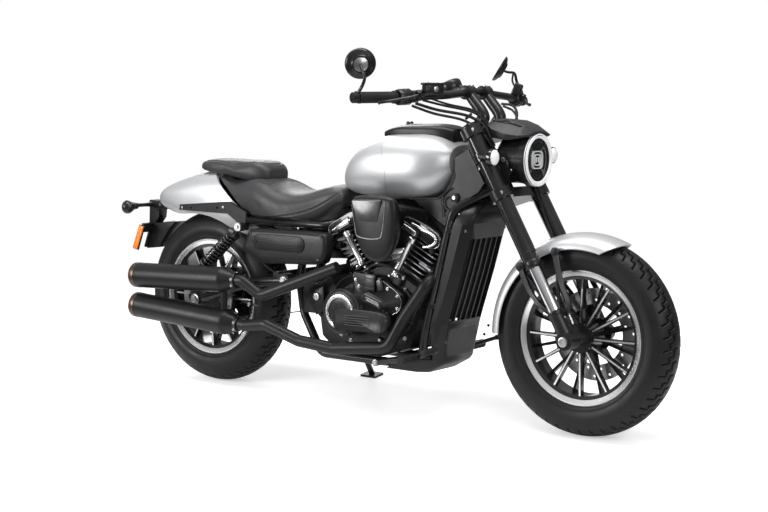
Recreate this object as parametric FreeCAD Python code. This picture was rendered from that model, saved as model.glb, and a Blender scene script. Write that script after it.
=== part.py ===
import FreeCAD, Part
import math
import os

# Cruiser motorcycle with a V-twin engine, in millimetres.
# The shapes are modelled upright: X forward, Y to the left, Z up, with the rear axle over X = 0.
# Each piece is then placed leaning to the left on its side stand, with the origin on the floor.

SIZES = {
    "lean_angle": (8.0, "lean on the side stand"),
    "origin_ahead": (736.0, "floor origin, ahead of the rear axle"),
    "origin_left": (148.5, "floor origin, left of the tyres' contact"),
    "wheelbase": (1562.0, "between the axles"),
    "rake_angle": (30.0, "steering axis from the vertical"),
    "fork_offset": (45.0, "fork line ahead of the steering axis"),
    "front_tyre_radius": (319.0, "130/90-16"),
    "front_tyre_width": (130.0, ""),
    "rear_tyre_radius": (322.0, "150/80-16"),
    "rear_tyre_width": (150.0, ""),
    "rim_radius": (216.0, "outer edge of the rim lip"),
    "rim_well_radius": (186.0, "inside of the rim barrel"),
    "bead_radius": (204.0, "tyre seat on the rim"),
    "front_rim_width": (92.0, "across the lips"),
    "rear_rim_width": (118.0, "across the lips"),
    "rim_lip": (8.0, "width of the lip ring"),
    "spoke_count": (12.0, "spokes on each side of a wheel"),
    "spoke_width": (9.0, ""),
    "spoke_depth": (20.0, "along the axle"),
    "hub_radius": (46.0, ""),
    "front_hub_width": (96.0, ""),
    "rear_hub_width": (120.0, ""),
    "axle_radius": (10.0, ""),
    "axle_bore_radius": (6.0, "hollow axle"),
    "running_gap": (0.3, "between pieces that seat on each other"),
    "shaft_clearance": (0.05, "shaft in its bore"),
    "disc_radius": (150.0, "front brake disc"),
    "disc_inner_radius": (98.0, ""),
    "disc_thickness": (5.0, ""),
    "disc_side": (62.0, "front disc from the middle plane"),
    "rear_disc_radius": (120.0, ""),
    "rear_disc_side": (74.0, ""),
    "pulley_radius": (96.0, "rear belt pulley"),
    "fork_tube_side": (115.0, "fork tubes from the middle plane"),
    "fork_cover_radius": (27.0, "upper tube with its cover"),
    "stanchion_radius": (20.5, ""),
    "lug_radius": (25.0, "axle lug at the fork's foot"),
    "lug_eye_half": (30.0, "half width of the axle eye"),
    "lug_eye_radius": (28.0, ""),
    "spacer_radius": (16.0, "axle spacers"),
    "swing_eye_inner": (112.0, "inner face of the rear axle eyes"),
    "swing_eye_outer": (136.0, ""),
    "clamp_top_up": (756.0, "top of the upper clamp above the axle, along the fork"),
    "clamp_low_up": (530.0, "top of the lower clamp"),
    "clamp_thickness": (34.0, ""),
    "cover_foot_up": (256.0, "lower end of the dark tubes"),
    "lug_top_up": (102.0, "upper end of the axle lugs"),
    "neck_radius": (30.0, "head tube"),
    "stem_radius": (14.0, "steering stem"),
    "bar_radius": (12.7, "handlebar tube"),
    "grip_radius": (17.0, ""),
    "headlight_radius": (86.0, ""),
    "headlight_ahead": (1374.0, "front of the headlight ring"),
    "headlight_height": (875.0, ""),
    "headlight_length": (128.0, ""),
    "crank_ahead": (845.0, ""),
    "crank_height": (298.0, ""),
    "front_cylinder_lean": (27.0, ""),
    "rear_cylinder_lean": (29.0, ""),
    "cylinder_foot": (186.0, "barrel foot from the crank"),
    "cylinder_head": (356.0, "top of the fins from the crank"),
    "cylinder_radius": (52.0, ""),
    "fin_radius": (70.0, "reach of the fins"),
    "fin_count": (9.0, ""),
    "fin_thickness": (5.0, ""),
    "rocker_height": (38.0, ""),
    "muffler_radius": (46.0, ""),
    "header_radius": (21.0, ""),
    "frame_tube_radius": (15.0, ""),
    "backbone_radius": (20.0, ""),
    "swing_pivot_ahead": (420.0, ""),
    "swing_pivot_height": (420.0, ""),
    "seat_rail_height": (625.0, ""),
    "stand_radius": (11.0, ""),
    "stand_pivot_ahead": (560.0, ""),
    "stand_pivot_height": (185.0, ""),
    "stand_pivot_side": (128.0, ""),
    "stand_reach": (262.0, "foot of the stand from the middle plane"),
    "stand_set_back": (40.0, "foot behind the pivot"),
    "stand_pad_thickness": (8.0, ""),
    "stand_pin_radius": (7.0, ""),
    "stand_eye_radius": (17.0, ""),
    "stand_eye_width": (26.0, ""),
    "fender_gap": (11.0, "front tyre to front fender"),
    "fender_wall": (3.0, ""),
    "front_fender_width": (156.0, ""),
    "cap_radius": (34.0, "fuel cap lid"),
    "cap_ahead": (905.0, ""),
    "cap_thickness": (10.0, ""),
    "cap_hinge_back": (7.0, "hinge behind the lid's edge"),
    "cap_hinge_rise": (3.0, "hinge above the console"),
    "cap_pin_radius": (2.2, ""),
    "knuckle_radius": (5.0, ""),
    "console_top": (976.0, ""),
    "cap_seat_depth": (4.0, "lid seat below the console's top"),
    "rail_side": (118.0, "inner face of the fender rails"),
    "rail_thickness": (16.0, ""),
    "rail_hole_radius": (4.2, "for a luggage rack"),
    "clamp_wall": (9.0, "of a clamp's eye round the tube"),
    "headlight_body_radius": (77.0, "bucket behind the ring"),
    "lamp_ear_gap": (1.5, "between the bucket and its two ears"),
    "lamp_ear_thickness": (6.0, ""),
    "stay_radius": (6.0, "front fender stays"),
    "fin_side": (86.0, "half width of the fins across the engine"),
    "fin_foot_reach": (44.0, "outer reach of the lowest fin"),
    "port_reach": (58.0, "exhaust port from the cylinder's axis"),
    "port_side": (52.0, "exhaust port right of the middle plane"),
    "port_height": (250.0, "exhaust port from the crank"),
    "pushrod_inset": (20.0, "tube from the cylinder's axis, towards the V"),
    "pushrod_side": (104.0, ""),
    "crankcase_width": (210.0, ""),
    "rail_height": (172.0, "lower frame rails"),
    "spine_height": (705.7, "backbone tube under the tank"),
    "pivot_half": (102.0, "half length of the frame's pivot tube"),
    "cover_inner": (132.0, "inner face of the side covers"),
    "neck_panel_side": (76.5, "inner face of the neck panels"),
    "shroud_half": (118.0, "half width of the radiator shroud"),
    "shroud_wall": (4.0, ""),
    "grille_slots": (6.0, ""),
    "grille_rib": (6.0, ""),
    "shock_side": (158.0, "shock absorbers from the middle plane"),
    "coil_count": (9.0, ""),
    "coil_radius": (20.0, ""),
    "coil_wire": (4.5, "radius of the spring's wire"),
    "belt_side": (90.8, "middle of the belt"),
    "belt_width": (15.0, ""),
    "gearbox_side": (72.0, "left face of the gearbox"),
    "belt_thickness": (4.0, ""),
    "sprocket_ahead": (500.0, "gearbox output ahead of the rear axle"),
    "sprocket_height": (352.0, ""),
    "sprocket_radius": (38.0, ""),
}

ORIGIN = FreeCAD.Vector(0, 0, 0)
X_AXIS = FreeCAD.Vector(1, 0, 0)
Y_AXIS = FreeCAD.Vector(0, 1, 0)
Z_AXIS = FreeCAD.Vector(0, 0, 1)

doc = FreeCAD.newDocument("CruiserMotorcycle")
sheet = doc.addObject("Spreadsheet::Sheet", "Sizes")


def fill_sheet():
    for row, (alias, (value, note)) in enumerate(SIZES.items(), start=1):
        sheet.set("A%d" % row, alias)
        sheet.set("B%d" % row, str(value))
        sheet.set("C%d" % row, note)
        sheet.setAlias("B%d" % row, alias)
    doc.recompute()


fill_sheet()


def size(alias):
    return float(sheet.get(alias))


def vec(x, y, z):
    return FreeCAD.Vector(x, y, z)


def sine(degrees):
    return math.sin(math.radians(degrees))


def cosine(degrees):
    return math.cos(math.radians(degrees))


# Heights of the axles: each tyre's round crown touches the leaning bike's floor.
LEAN = size("lean_angle")


def axle_height(radius, width):
    crown = width / 2
    return radius - crown + crown / cosine(LEAN)


REAR_AXLE = vec(0, 0, axle_height(size("rear_tyre_radius"), size("rear_tyre_width")))
FRONT_AXLE = vec(size("wheelbase"), 0, axle_height(size("front_tyre_radius"), size("front_tyre_width")))
RAKE = size("rake_angle")
CRANK = vec(size("crank_ahead"), 0, size("crank_height"))
SEAT = size("running_gap")
FIT = size("shaft_clearance")
nodes = []


def leaning_place():
    lean = FreeCAD.Rotation(X_AXIS, -LEAN)
    shift = vec(-size("origin_ahead"), -size("origin_left"), 0)
    return FreeCAD.Placement(shift, lean)


PLACE = leaning_place()


def add_piece(label, shape):
    piece = doc.addObject("Part::Feature", label)
    piece.Label = label
    own_place = shape.Placement
    piece.Shape = shape
    piece.Placement = PLACE.multiply(own_place)
    nodes.append(piece)
    return piece


# Shape helpers

def fuse(shapes):
    result = shapes[0]
    if len(shapes) > 1:
        result = result.multiFuse(shapes[1:])
    merged = result.removeSplitter()
    if merged.isValid():
        return merged
    if result.isValid():
        return result
    result = shapes[0]
    for shape in shapes[1:]:
        result = result.fuse(shape)
    return result


def rod(start, end, radius):
    return Part.makeCylinder(radius, (end - start).Length, start, end - start)


def cone_rod(start, end, radius_start, radius_end):
    return Part.makeCone(radius_start, radius_end, (end - start).Length, start, end - start)


def cross_rod(x, z, y_low, y_high, radius):
    return rod(vec(x, y_low, z), vec(x, y_high, z), radius)


def box(x_low, x_high, y_low, y_high, z_low, z_high):
    return Part.makeBox(x_high - x_low, y_high - y_low, z_high - z_low, vec(x_low, y_low, z_low))


def bent_wire(points, bend):
    # Straight runs joined by tangent arcs, with one bend radius or one for each corner.
    edges = []
    start = points[0]
    bends = bend if isinstance(bend, list) else [bend] * (len(points) - 2)
    for before, corner, after, bend in zip(points, points[1:], points[2:], bends):
        back = (before - corner).normalize()
        ahead = (after - corner).normalize()
        half_turn = (math.pi - back.getAngle(ahead)) / 2
        reach = bend * math.tan(half_turn)
        enter = corner + back * reach
        leave = corner + ahead * reach
        bisector = (back + ahead).normalize()
        middle = corner + bisector * (bend / math.cos(half_turn) - bend)
        edges.append(Part.LineSegment(start, enter).toShape())
        edges.append(Part.Arc(enter, middle, leave).toShape())
        start = leave
    edges.append(Part.LineSegment(start, points[-1]).toShape())
    return Part.Wire(edges)


def tube(points, radius, bend):
    path = bent_wire(points, bend)
    ring = Part.Wire(Part.makeCircle(radius, points[0], points[1] - points[0]))
    return path.makePipeShell([ring], True, False)


def outline_xz(points, y):
    corners = [vec(x, y, z) for x, z in points]
    return Part.makePolygon(corners + corners[:1])


def plate_xz(points, y_low, y_high):
    face = Part.Face(outline_xz(points, y_low))
    return face.extrude(vec(0, y_high - y_low, 0))


def capsule_plate(start, end, radius_start, radius_end, y_low, y_high):
    # Two round ends joined by their common tangents, seen from the side.
    along = vec(end[0] - start[0], 0, end[1] - start[1])
    span = along.Length
    ahead = along.normalize()
    up = vec(-ahead.z, 0, ahead.x)
    lean = math.asin((radius_start - radius_end) / span)
    first = vec(start[0], y_low, start[1])
    last = vec(end[0], y_low, end[1])
    rise = up * math.cos(lean) + ahead * math.sin(lean)
    fall = up * -math.cos(lean) + ahead * math.sin(lean)
    corners = [first + rise * radius_start, last + rise * radius_end,
               last + fall * radius_end, first + fall * radius_start]
    edges = [Part.LineSegment(corners[0], corners[1]).toShape(),
             Part.Arc(corners[1], last + ahead * radius_end, corners[2]).toShape(),
             Part.LineSegment(corners[2], corners[3]).toShape(),
             Part.Arc(corners[3], first - ahead * radius_start, corners[0]).toShape()]
    return Part.Face(Part.Wire(edges)).extrude(vec(0, y_high - y_low, 0))


def turned(points, start, direction):
    profile = [vec(radius, 0, along) for radius, along in points]
    face = Part.Face(Part.makePolygon(profile + profile[:1]))
    solid = face.revolve(ORIGIN, Z_AXIS, 360)
    solid.Placement = FreeCAD.Placement(start, FreeCAD.Rotation(Z_AXIS, direction))
    return solid


def oval_wire(x, half_width, z_low, z_high, power, count=20):
    middle = (z_low + z_high) / 2
    half_height = (z_high - z_low) / 2
    points = []
    for index in range(count):
        angle = 2 * math.pi * index / count
        across = math.copysign(abs(math.cos(angle)) ** (2 / power), math.cos(angle))
        along = math.copysign(abs(math.sin(angle)) ** (2 / power), math.sin(angle))
        points.append(vec(x, half_width * across, middle + half_height * along))
    curve = Part.BSplineCurve()
    curve.interpolate(Points=points, PeriodicFlag=True)
    return Part.Wire(curve.toShape())


def oval_loft(stations, power):
    wires = [oval_wire(x, width, low, high, power) for x, width, low, high in stations]
    return Part.makeLoft(wires, True, False)


def raked(shape):
    turned_shape = shape.copy()
    turned_shape.rotate(ORIGIN, Y_AXIS, -RAKE)
    turned_shape.translate(FRONT_AXLE)
    return turned_shape


def fork_point(ahead, side, up):
    local = vec(ahead, side, up)
    return FreeCAD.Rotation(Y_AXIS, -RAKE).multVec(local) + FRONT_AXLE


# Wheels

def tyre(centre, radius, width, rim_width):
    crown = width / 2
    bead = size("bead_radius")
    shoulder = radius - crown
    inside = rim_width / 2 - size("rim_lip") - SEAT
    lower = [vec(0, -inside, bead + SEAT), vec(0, -inside, size("rim_radius") + 2)]
    upper = [vec(0, inside, size("rim_radius") + 2), vec(0, inside, bead + SEAT)]
    flank = vec(0, -crown * 0.9, (shoulder + size("rim_radius")) / 2)
    mirrored_flank = vec(0, crown * 0.9, flank.z)
    left = vec(0, -crown, shoulder)
    right = vec(0, crown, shoulder)
    edges = [
        Part.LineSegment(lower[0], lower[1]).toShape(),
        Part.Arc(lower[1], flank, left).toShape(),
        Part.Arc(left, vec(0, 0, radius), right).toShape(),
        Part.Arc(right, mirrored_flank, upper[0]).toShape(),
        Part.LineSegment(upper[0], upper[1]).toShape(),
        Part.LineSegment(upper[1], lower[0]).toShape(),
    ]
    solid = Part.Face(Part.Wire(edges)).revolve(ORIGIN, Y_AXIS, 360)
    solid.translate(centre)
    return solid


def ring_y(profile, centre):
    corners = [vec(0, across, radius) for across, radius in profile]
    face = Part.Face(Part.makePolygon(corners + corners[:1]))
    solid = face.revolve(ORIGIN, Y_AXIS, 360)
    solid.translate(centre)
    return solid


def spoke(side, rim_width, hub_width, angle):
    outer = side * (rim_width / 2 - size("rim_lip") - 4)
    inner = side * (hub_width / 2 - 6)
    half = size("spoke_width") / 2
    foot = size("hub_radius") - 4
    tip = size("rim_well_radius") + 3
    depth = side * size("spoke_depth")
    root = Part.makePolygon([vec(-half * 1.5, inner, foot), vec(half * 1.5, inner, foot),
                             vec(half * 1.5, inner - depth, foot), vec(-half * 1.5, inner - depth, foot),
                             vec(-half * 1.5, inner, foot)])
    end = Part.makePolygon([vec(-half, outer, tip), vec(half, outer, tip),
                            vec(half, outer - depth, tip), vec(-half, outer - depth, tip),
                            vec(-half, outer, tip)])
    solid = Part.makeLoft([root, end], True, True)
    solid.rotate(ORIGIN, Y_AXIS, angle)
    return solid


def cast_rim(centre, rim_width, hub_width):
    half = rim_width / 2
    lip = size("rim_lip")
    edge = size("rim_radius")
    bead = size("bead_radius")
    well = size("rim_well_radius")
    barrel = ring_y([(-half, edge), (-half + lip, edge), (-half + lip, bead), (half - lip, bead),
                     (half - lip, edge), (half, edge), (half, edge - 6), (half - 14, well),
                     (-half + 14, well), (-half, edge - 6)], ORIGIN)
    hub = rod(vec(0, -hub_width / 2, 0), vec(0, hub_width / 2, 0), size("hub_radius"))
    pieces = [barrel, hub]
    count = int(size("spoke_count"))
    for index in range(count):
        pitch = 360.0 / count
        pieces.append(spoke(-1, rim_width, hub_width, index * pitch))
        pieces.append(spoke(1, rim_width, hub_width, (index + 0.5) * pitch))
    solid = fuse(pieces)
    bore = rod(vec(0, -hub_width, 0), vec(0, hub_width, 0), size("axle_radius") + FIT)
    solid = solid.cut(bore)
    solid.translate(centre)
    return solid


def disc(centre, side, outer, inner, hole_count, hub_half):
    half = size("disc_thickness") / 2
    hub_side = math.copysign(hub_half + SEAT, side)
    hat = cross_rod(0, 0, min(hub_side, side), max(hub_side, side), size("hub_radius") - 6)
    plate = cross_rod(0, 0, side - half, side + half, outer)
    plate = plate.cut(cross_rod(0, 0, side - half - 1, side + half + 1, inner))
    carrier = cross_rod(0, 0, side - half, side + half, size("hub_radius") + 12)
    arms = [box(-9, 9, side - half, side + half, 0, inner + 6)]
    arms = [arm_turned(arms[0], index * 72) for index in range(5)]
    solid = fuse([plate, carrier, hat] + arms)
    solid = solid.cut(cross_rod(0, 0, side - 40, side + 40, size("spacer_radius") + 4))
    holes = []
    mid = (outer + inner) / 2
    for index in range(hole_count):
        angle = 360.0 * index / hole_count
        radius = mid + (12 if index % 2 else -12)
        holes.append(cross_rod(radius * sine(angle), radius * cosine(angle), side - 10, side + 10, 4.5))
    solid = solid.cut(Part.makeCompound(holes))
    solid.translate(centre)
    return solid


def arm_turned(shape, angle):
    copy = shape.copy()
    copy.rotate(ORIGIN, Y_AXIS, angle)
    return copy


def build_wheels():
    add_piece("front_tyre", tyre(FRONT_AXLE, size("front_tyre_radius"), size("front_tyre_width"),
                                 size("front_rim_width")))
    add_piece("rear_tyre", tyre(REAR_AXLE, size("rear_tyre_radius"), size("rear_tyre_width"),
                                size("rear_rim_width")))
    add_piece("front_rim", cast_rim(FRONT_AXLE, size("front_rim_width"), size("front_hub_width")))
    add_piece("rear_rim", cast_rim(REAR_AXLE, size("rear_rim_width"), size("rear_hub_width")))
    add_piece("front_disc", disc(FRONT_AXLE, size("disc_side"), size("disc_radius"),
                                 size("disc_inner_radius"), 30, size("front_hub_width") / 2))
    add_piece("rear_disc", disc(REAR_AXLE, -size("rear_disc_side"), size("rear_disc_radius"), 74, 24,
                                size("rear_hub_width") / 2))
    hub_side = size("rear_hub_width") / 2 + SEAT
    low = size("belt_side") - size("belt_width") / 2 - 0.5
    high = size("belt_side") + size("belt_width") / 2 + 0.5
    edge = size("pulley_radius")
    pulley = ring_y([(hub_side, 20), (hub_side, 52), (low - 3, 58), (low - 3, edge + 5), (low, edge + 5), (low, edge),
                     (high, edge), (high, edge + 5), (high + 3, edge + 5), (high + 3, edge - 8), (low + 4, edge - 8),
                     (low + 4, 20)], ORIGIN)
    windows = [arm_turned(cross_rod(0, 72, 70, 200, 11), index * 60) for index in range(6)]
    pulley = pulley.cut(Part.makeCompound(windows))
    pulley.translate(REAR_AXLE)
    add_piece("rear_pulley", pulley)


def build_axles():
    inner = size("fork_tube_side") - size("lug_eye_half")
    outer = size("fork_tube_side") + size("lug_eye_half")
    front = axle(size("front_hub_width") / 2, size("front_hub_width") / 2, inner, outer)
    front = front.cut(cross_rod(0, 0, -300, 300, size("axle_bore_radius")))
    front.translate(FRONT_AXLE)
    add_piece("front_axle", front)
    half_hub = size("rear_hub_width") / 2
    rear = axle(half_hub, half_hub, size("swing_eye_inner"), size("swing_eye_outer"))
    rear.translate(REAR_AXLE)
    add_piece("rear_axle", rear)


def axle(hub_right, hub_left, inner, outer):
    head = 8
    shaft = cross_rod(0, 0, -outer - head, outer + head, size("axle_radius"))
    spacer = size("spacer_radius")
    parts = [shaft,
             cross_rod(0, 0, -outer - head, -outer - SEAT, spacer),
             cross_rod(0, 0, outer + SEAT, outer + head, spacer),
             cross_rod(0, 0, -inner + SEAT, -hub_right - SEAT, spacer),
             cross_rod(0, 0, hub_left + SEAT, inner - SEAT, spacer)]
    return fuse(parts)


# Front fork

def clamp_plate(top_up, ahead, hub_radius):
    # A clamp with an eye round each tube and a waisted web about the steering stem.
    side = size("fork_tube_side")
    back = -size("fork_offset")
    low = top_up - size("clamp_thickness")
    eye = size("fork_cover_radius") + size("clamp_wall")
    plan = [vec(ahead, side, low), vec(ahead, -side, low), vec(-eye * 0.6, -side, low),
            vec(back - hub_radius * 0.7, -hub_radius * 0.7, low), vec(back - hub_radius * 0.7, hub_radius * 0.7, low),
            vec(-eye * 0.6, side, low)]
    web = Part.Face(Part.makePolygon(plan + plan[:1])).extrude(vec(0, 0, size("clamp_thickness")))
    eyes = [rod(vec(0, s * side, low), vec(0, s * side, top_up), eye) for s in (-1, 1)]
    hub = rod(vec(back, 0, low), vec(back, 0, top_up), hub_radius)
    return fuse([web, hub] + eyes)


def build_fork():
    side = size("fork_tube_side")
    cover = size("fork_cover_radius")
    top = size("clamp_top_up")
    low = size("clamp_low_up")
    thick = size("clamp_thickness")
    foot = size("cover_foot_up")
    slide = size("stanchion_radius")
    lug_top = size("lug_top_up")
    gap = SEAT
    stem = rod(vec(-size("fork_offset"), 0, low - thick), vec(-size("fork_offset"), 0, top + 12),
               size("stem_radius"))
    ears = []
    lamp = lamp_centre_in_fork()
    inner = size("headlight_body_radius") + size("lamp_ear_gap")
    for s in (-1, 1):
        outline = [vec(-8, 0, low - 6), vec(17, 0, low - 6), vec(lamp.x + 12, 0, lamp.z - 14),
                   vec(lamp.x + 8, 0, lamp.z + 12), vec(lamp.x - 10, 0, lamp.z + 10), vec(-6, 0, low + 24)]
        plate = Part.Face(Part.makePolygon(outline + outline[:1])).extrude(vec(0, s * size("lamp_ear_thickness"), 0))
        plate.translate(vec(0, s * inner, 0))
        boss = rod(vec(lamp.x, s * (size("headlight_body_radius") + gap), lamp.z), vec(lamp.x, s * (inner + 6), lamp.z), 9)
        ears += [plate, boss]
    clamps = fuse([clamp_plate(top, 16, 40), clamp_plate(low, 18, 42), stem] + ears)
    holes = [rod(vec(0, s * side, low - thick - 1), vec(0, s * side, top + 1), cover + gap) for s in (-1, 1)]
    clamps = clamps.cut(Part.makeCompound(holes))
    add_piece("triple_clamps", raked(clamps))

    covers = []
    for s in (-1, 1):
        covers.append(turned([(slide + gap, foot), (cover - 2, foot), (cover, foot + 6), (cover, top + 4),
                              (cover - 3, top + 8), (0, top + 8), (0, low - 100), (slide + gap, low - 100)],
                             vec(0, s * side, 0), Z_AXIS))
    add_piece("fork_tubes", raked(Part.makeCompound(covers)))

    stanchions = [rod(vec(0, s * side, lug_top - 40), vec(0, s * side, low - 100 - gap), slide) for s in (-1, 1)]
    add_piece("fork_stanchions", raked(Part.makeCompound(stanchions)))
    build_fork_lugs()


def build_fork_lugs():
    # Each lug holds the axle, the tube's foot and the two fender stays. The left one carries the caliper.
    side = size("fork_tube_side")
    lug_top = size("lug_top_up")
    half_eye = size("lug_eye_half")
    lugs = []
    for s in (-1, 1):
        body = rod(vec(0, s * side, -4), vec(0, s * side, lug_top), size("lug_radius"))
        eye = rod(vec(0, s * (side - half_eye), 0), vec(0, s * (side + half_eye), 0), size("lug_eye_radius"))
        parts = [body, eye]
        if s > 0:
            inner = caliper_outer() + SEAT
            parts.append(box(-88, 0, inner, side - 20, 56, 98))
        lug = raked(fuse(parts))
        lug = fuse([lug] + stay_rods(s))
        bore = rod(FRONT_AXLE, FRONT_AXLE + vec(0, s * 300, 0), size("axle_radius") + FIT)
        socket = raked(rod(vec(0, s * side, lug_top - 40 - SEAT), vec(0, s * side, lug_top + 60),
                           size("stanchion_radius") + SEAT))
        lugs.append(fuse([lug]).cut(Part.makeCompound([bore, socket])))
    add_piece("fork_lugs", Part.makeCompound(lugs))


def stay_rods(s):
    # Two rods run from bosses on the fender's side down to the lug.
    seat = size("front_fender_width") / 2 + SEAT
    radius = size("stay_radius")
    out = seat + radius
    rods = []
    for x, z, ahead, up in ((1494, 592, 2, 92), (1368, 536, -14, 78)):
        fender_end = vec(x, s * (out + 0.5), z)
        rods.append(rod(fender_end, fork_point(ahead, s * (size("fork_tube_side") - 18), up), radius))
        rods.append(cross_rod(x, z, min(s * seat, s * (seat + 13)), max(s * seat, s * (seat + 13)), radius * 2))
    return rods


def arch_shell(half_width, radius, drop, wall, start, end):
    # A thin arched section swept round the wheel between two angles above the horizontal.
    outer = []
    inner = []
    for step in range(-8, 9):
        share = step / 8.0 * math.pi / 2
        fall = drop * (1 - math.cos(share))
        outer.append(vec(radius + wall - fall, half_width * math.sin(share), 0))
        inner.append(vec(radius - fall, (half_width - wall) * math.sin(share), 0))
    outer_curve = Part.BSplineCurve()
    outer_curve.interpolate(outer)
    inner_curve = Part.BSplineCurve()
    inner_curve.interpolate(inner)
    edges = [outer_curve.toShape(), Part.LineSegment(outer[-1], inner[-1]).toShape(),
             inner_curve.toShape(), Part.LineSegment(inner[0], outer[0]).toShape()]
    face = Part.Face(Part.Wire(Part.__sortEdges__(edges)))
    solid = face.revolve(ORIGIN, Y_AXIS, -(end - start))
    solid.rotate(ORIGIN, Y_AXIS, -start)
    return solid


def build_front_fender():
    radius = size("front_tyre_radius") + size("fender_gap")
    shell = arch_shell(size("front_fender_width") / 2, radius, 48, size("fender_wall"), 62, 182)
    shell.translate(FRONT_AXLE)
    add_piece("front_fender", shell)


def lamp_front():
    return vec(size("headlight_ahead"), 0, size("headlight_height"))


def lamp_centre_in_fork():
    # The bucket's side bolts, seen in the fork's own upright frame.
    point = lamp_front() - vec(82, 0, 0) - FRONT_AXLE
    return FreeCAD.Rotation(Y_AXIS, RAKE).multVec(point)


def build_headlight():
    radius = size("headlight_radius")
    body = size("headlight_body_radius")
    front = lamp_front()
    back = vec(-1, 0, 0)
    length = size("headlight_length")
    bucket = turned([(0, 14), (radius - 8, 14), (radius - 8, 0), (radius, 0), (radius, 30), (body + 3, 34),
                     (body + 3, 44), (body, 46), (body, 92), (body - 14, 104), (34, length), (0, length)], front, back)
    add_piece("headlight", bucket)
    lens = turned([(0, 13.7), (radius - 8.3, 13.7), (radius - 8.3, 2), (0, -4)], front, back)
    add_piece("headlight_lens", lens)
    stations = [(1222, 72, 946, 1000), (1248, 88, 934, 1003), (1296, 93, 925, 997), (1336, 88, 925, 985),
                (1366, 66, 940, 968)]
    cowl = oval_loft(stations, 3.2)
    grown = turned([(0, -10), (radius + SEAT, -10), (radius + SEAT, 30 + SEAT), (body + 3 + SEAT, 34 + SEAT),
                    (body + 3 + SEAT, 44 + SEAT), (body + SEAT, 46 + SEAT), (body + SEAT, 92),
                    (body - 14 + SEAT, 104), (34 + SEAT, length + SEAT), (0, length + SEAT)], front, back)
    cowl = biggest(cowl.cut(grown))
    add_piece("nacelle", cowl)
    build_front_indicators()


def build_front_indicators():
    lamps = []
    side = size("fork_tube_side")
    grip = size("fork_cover_radius") + SEAT
    for s in (-1, 1):
        band = rod(vec(0, s * side, 636), vec(0, s * side, 662), grip + 5)
        band = band.cut(rod(vec(0, s * side, 630), vec(0, s * side, 670), grip))
        start = fork_point(6, s * (side + grip + 2), 649)
        lamp_back = vec(1300, s * 184, 885)
        stalk = rod(start, lamp_back, 9)
        body = turned([(0, -8), (14, -6), (22, 10), (22, 20), (0, 20)], lamp_back, X_AXIS)
        tube_line = raked(rod(vec(0, s * side, 560), vec(0, s * side, 720), grip))
        lamps.append(fuse([raked(band), stalk, body]).cut(tube_line))
    add_piece("front_indicators", Part.makeCompound(lamps))


def bar_points():
    points = [(1013, 490, 1067), (1068, 365, 1070), (1135, 190, 1078), (1128, 0, 1092)]
    right = [(x, -y, z) for x, y, z in reversed(points[:-1])]
    return [vec(*point) for point in points + right]


def bar_solid(radius):
    return tube(bar_points(), radius, 60)


def build_handlebar():
    radius = size("bar_radius")
    risers = []
    top = size("clamp_top_up")
    for s in (-1, 1):
        foot = fork_point(-4, s * 50, top + SEAT)
        collar = fork_point(-4, s * 50, top + 26)
        knee = vec(1192, s * 50, 1016)
        head = vec(1131, s * 50, 1088)
        risers += [rod(foot, collar, 18), rod(fork_point(-4, s * 50, top + 20), knee, 15), rod(knee, head, 14),
                   Part.makeSphere(17.5, knee), cross_rod(1131, 1089, s * 50 - 16, s * 50 + 16, 21)]
    add_piece("handlebar", fuse([bar_solid(radius)] + risers))
    clearance = bar_solid(radius + SEAT)
    build_grips(clearance)
    build_hand_controls(clearance)
    build_mirrors()
    build_instrument(clearance)


def grip_line(s):
    outer = vec(1013, s * 490, 1067)
    inner = vec(1068, s * 365, 1070)
    return outer, inner, (outer - inner).normalize()


def build_grips(clearance):
    grips = []
    for s in (-1, 1):
        outer, inner, along = grip_line(s)
        sleeve = rod(inner + along * 6, outer - along * SEAT, size("grip_radius"))
        grips.append(sleeve.cut(clearance))
    add_piece("grips", Part.makeCompound(grips))


def build_hand_controls(clearance):
    controls = []
    for s in (-1, 1):
        outer, inner, along = grip_line(s)
        toward = (vec(1135, s * 190, 1078) - inner).normalize()
        house = rod(inner + toward * 4, inner + toward * 52, 25)
        clamp = rod(inner + toward * 50, inner + toward * 78, 19)
        root = inner + toward * 58 + vec(34, 0, 4)
        bridge = rod(inner + toward * 64, root, 9)
        lever = rod(root, vec(1066, s * 452, 1052), 5.5)
        pivot = Part.makeSphere(9, root)
        pot_centre = inner + toward * 84 + vec(16, 0, 30)
        pot = turned([(0, -16), (21, -16), (23, 10), (25, 12), (25, 16), (0, 16)], pot_centre, Z_AXIS)
        arm = rod(inner + toward * 70, pot_centre, 10)
        solid = fuse([house, clamp, bridge, lever, pivot, arm, pot])
        controls.append(solid.cut(clearance))
    add_piece("hand_controls", Part.makeCompound(controls))


def build_mirrors():
    mirrors = []
    for s in (-1, 1):
        outer, inner, along = grip_line(s)
        head = vec(967, s * 430, 1171)
        clamp = rod(outer + along * SEAT, outer + along * 22, 17)
        elbow = outer + along * 14 + vec(-4, 0, 10)
        stem = rod(elbow, vec(958, s * 436, 1124), 6)
        shell = turned([(0, -4), (20, -4), (26, 0), (46, 2), (56, 8), (59, 15), (55, 20), (0, 20)], head,
                       vec(-1, 0, -0.12))
        mirrors.append(fuse([clamp, Part.makeSphere(11, elbow), stem, shell]))
    add_piece("mirrors", Part.makeCompound(mirrors))


def build_instrument(clearance):
    pod = turned([(0, 0), (42, 0), (50, 8), (50, 30), (30, 42), (0, 42)], vec(1040, 0, 1122), vec(0.35, 0, -1))
    arm = box(1070, 1114, -14, 14, 1086, 1098)
    pod = fuse([pod, arm]).cut(clearance)
    add_piece("instrument", biggest(pod))


def caliper_outer():
    return size("disc_side") + 17


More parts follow.
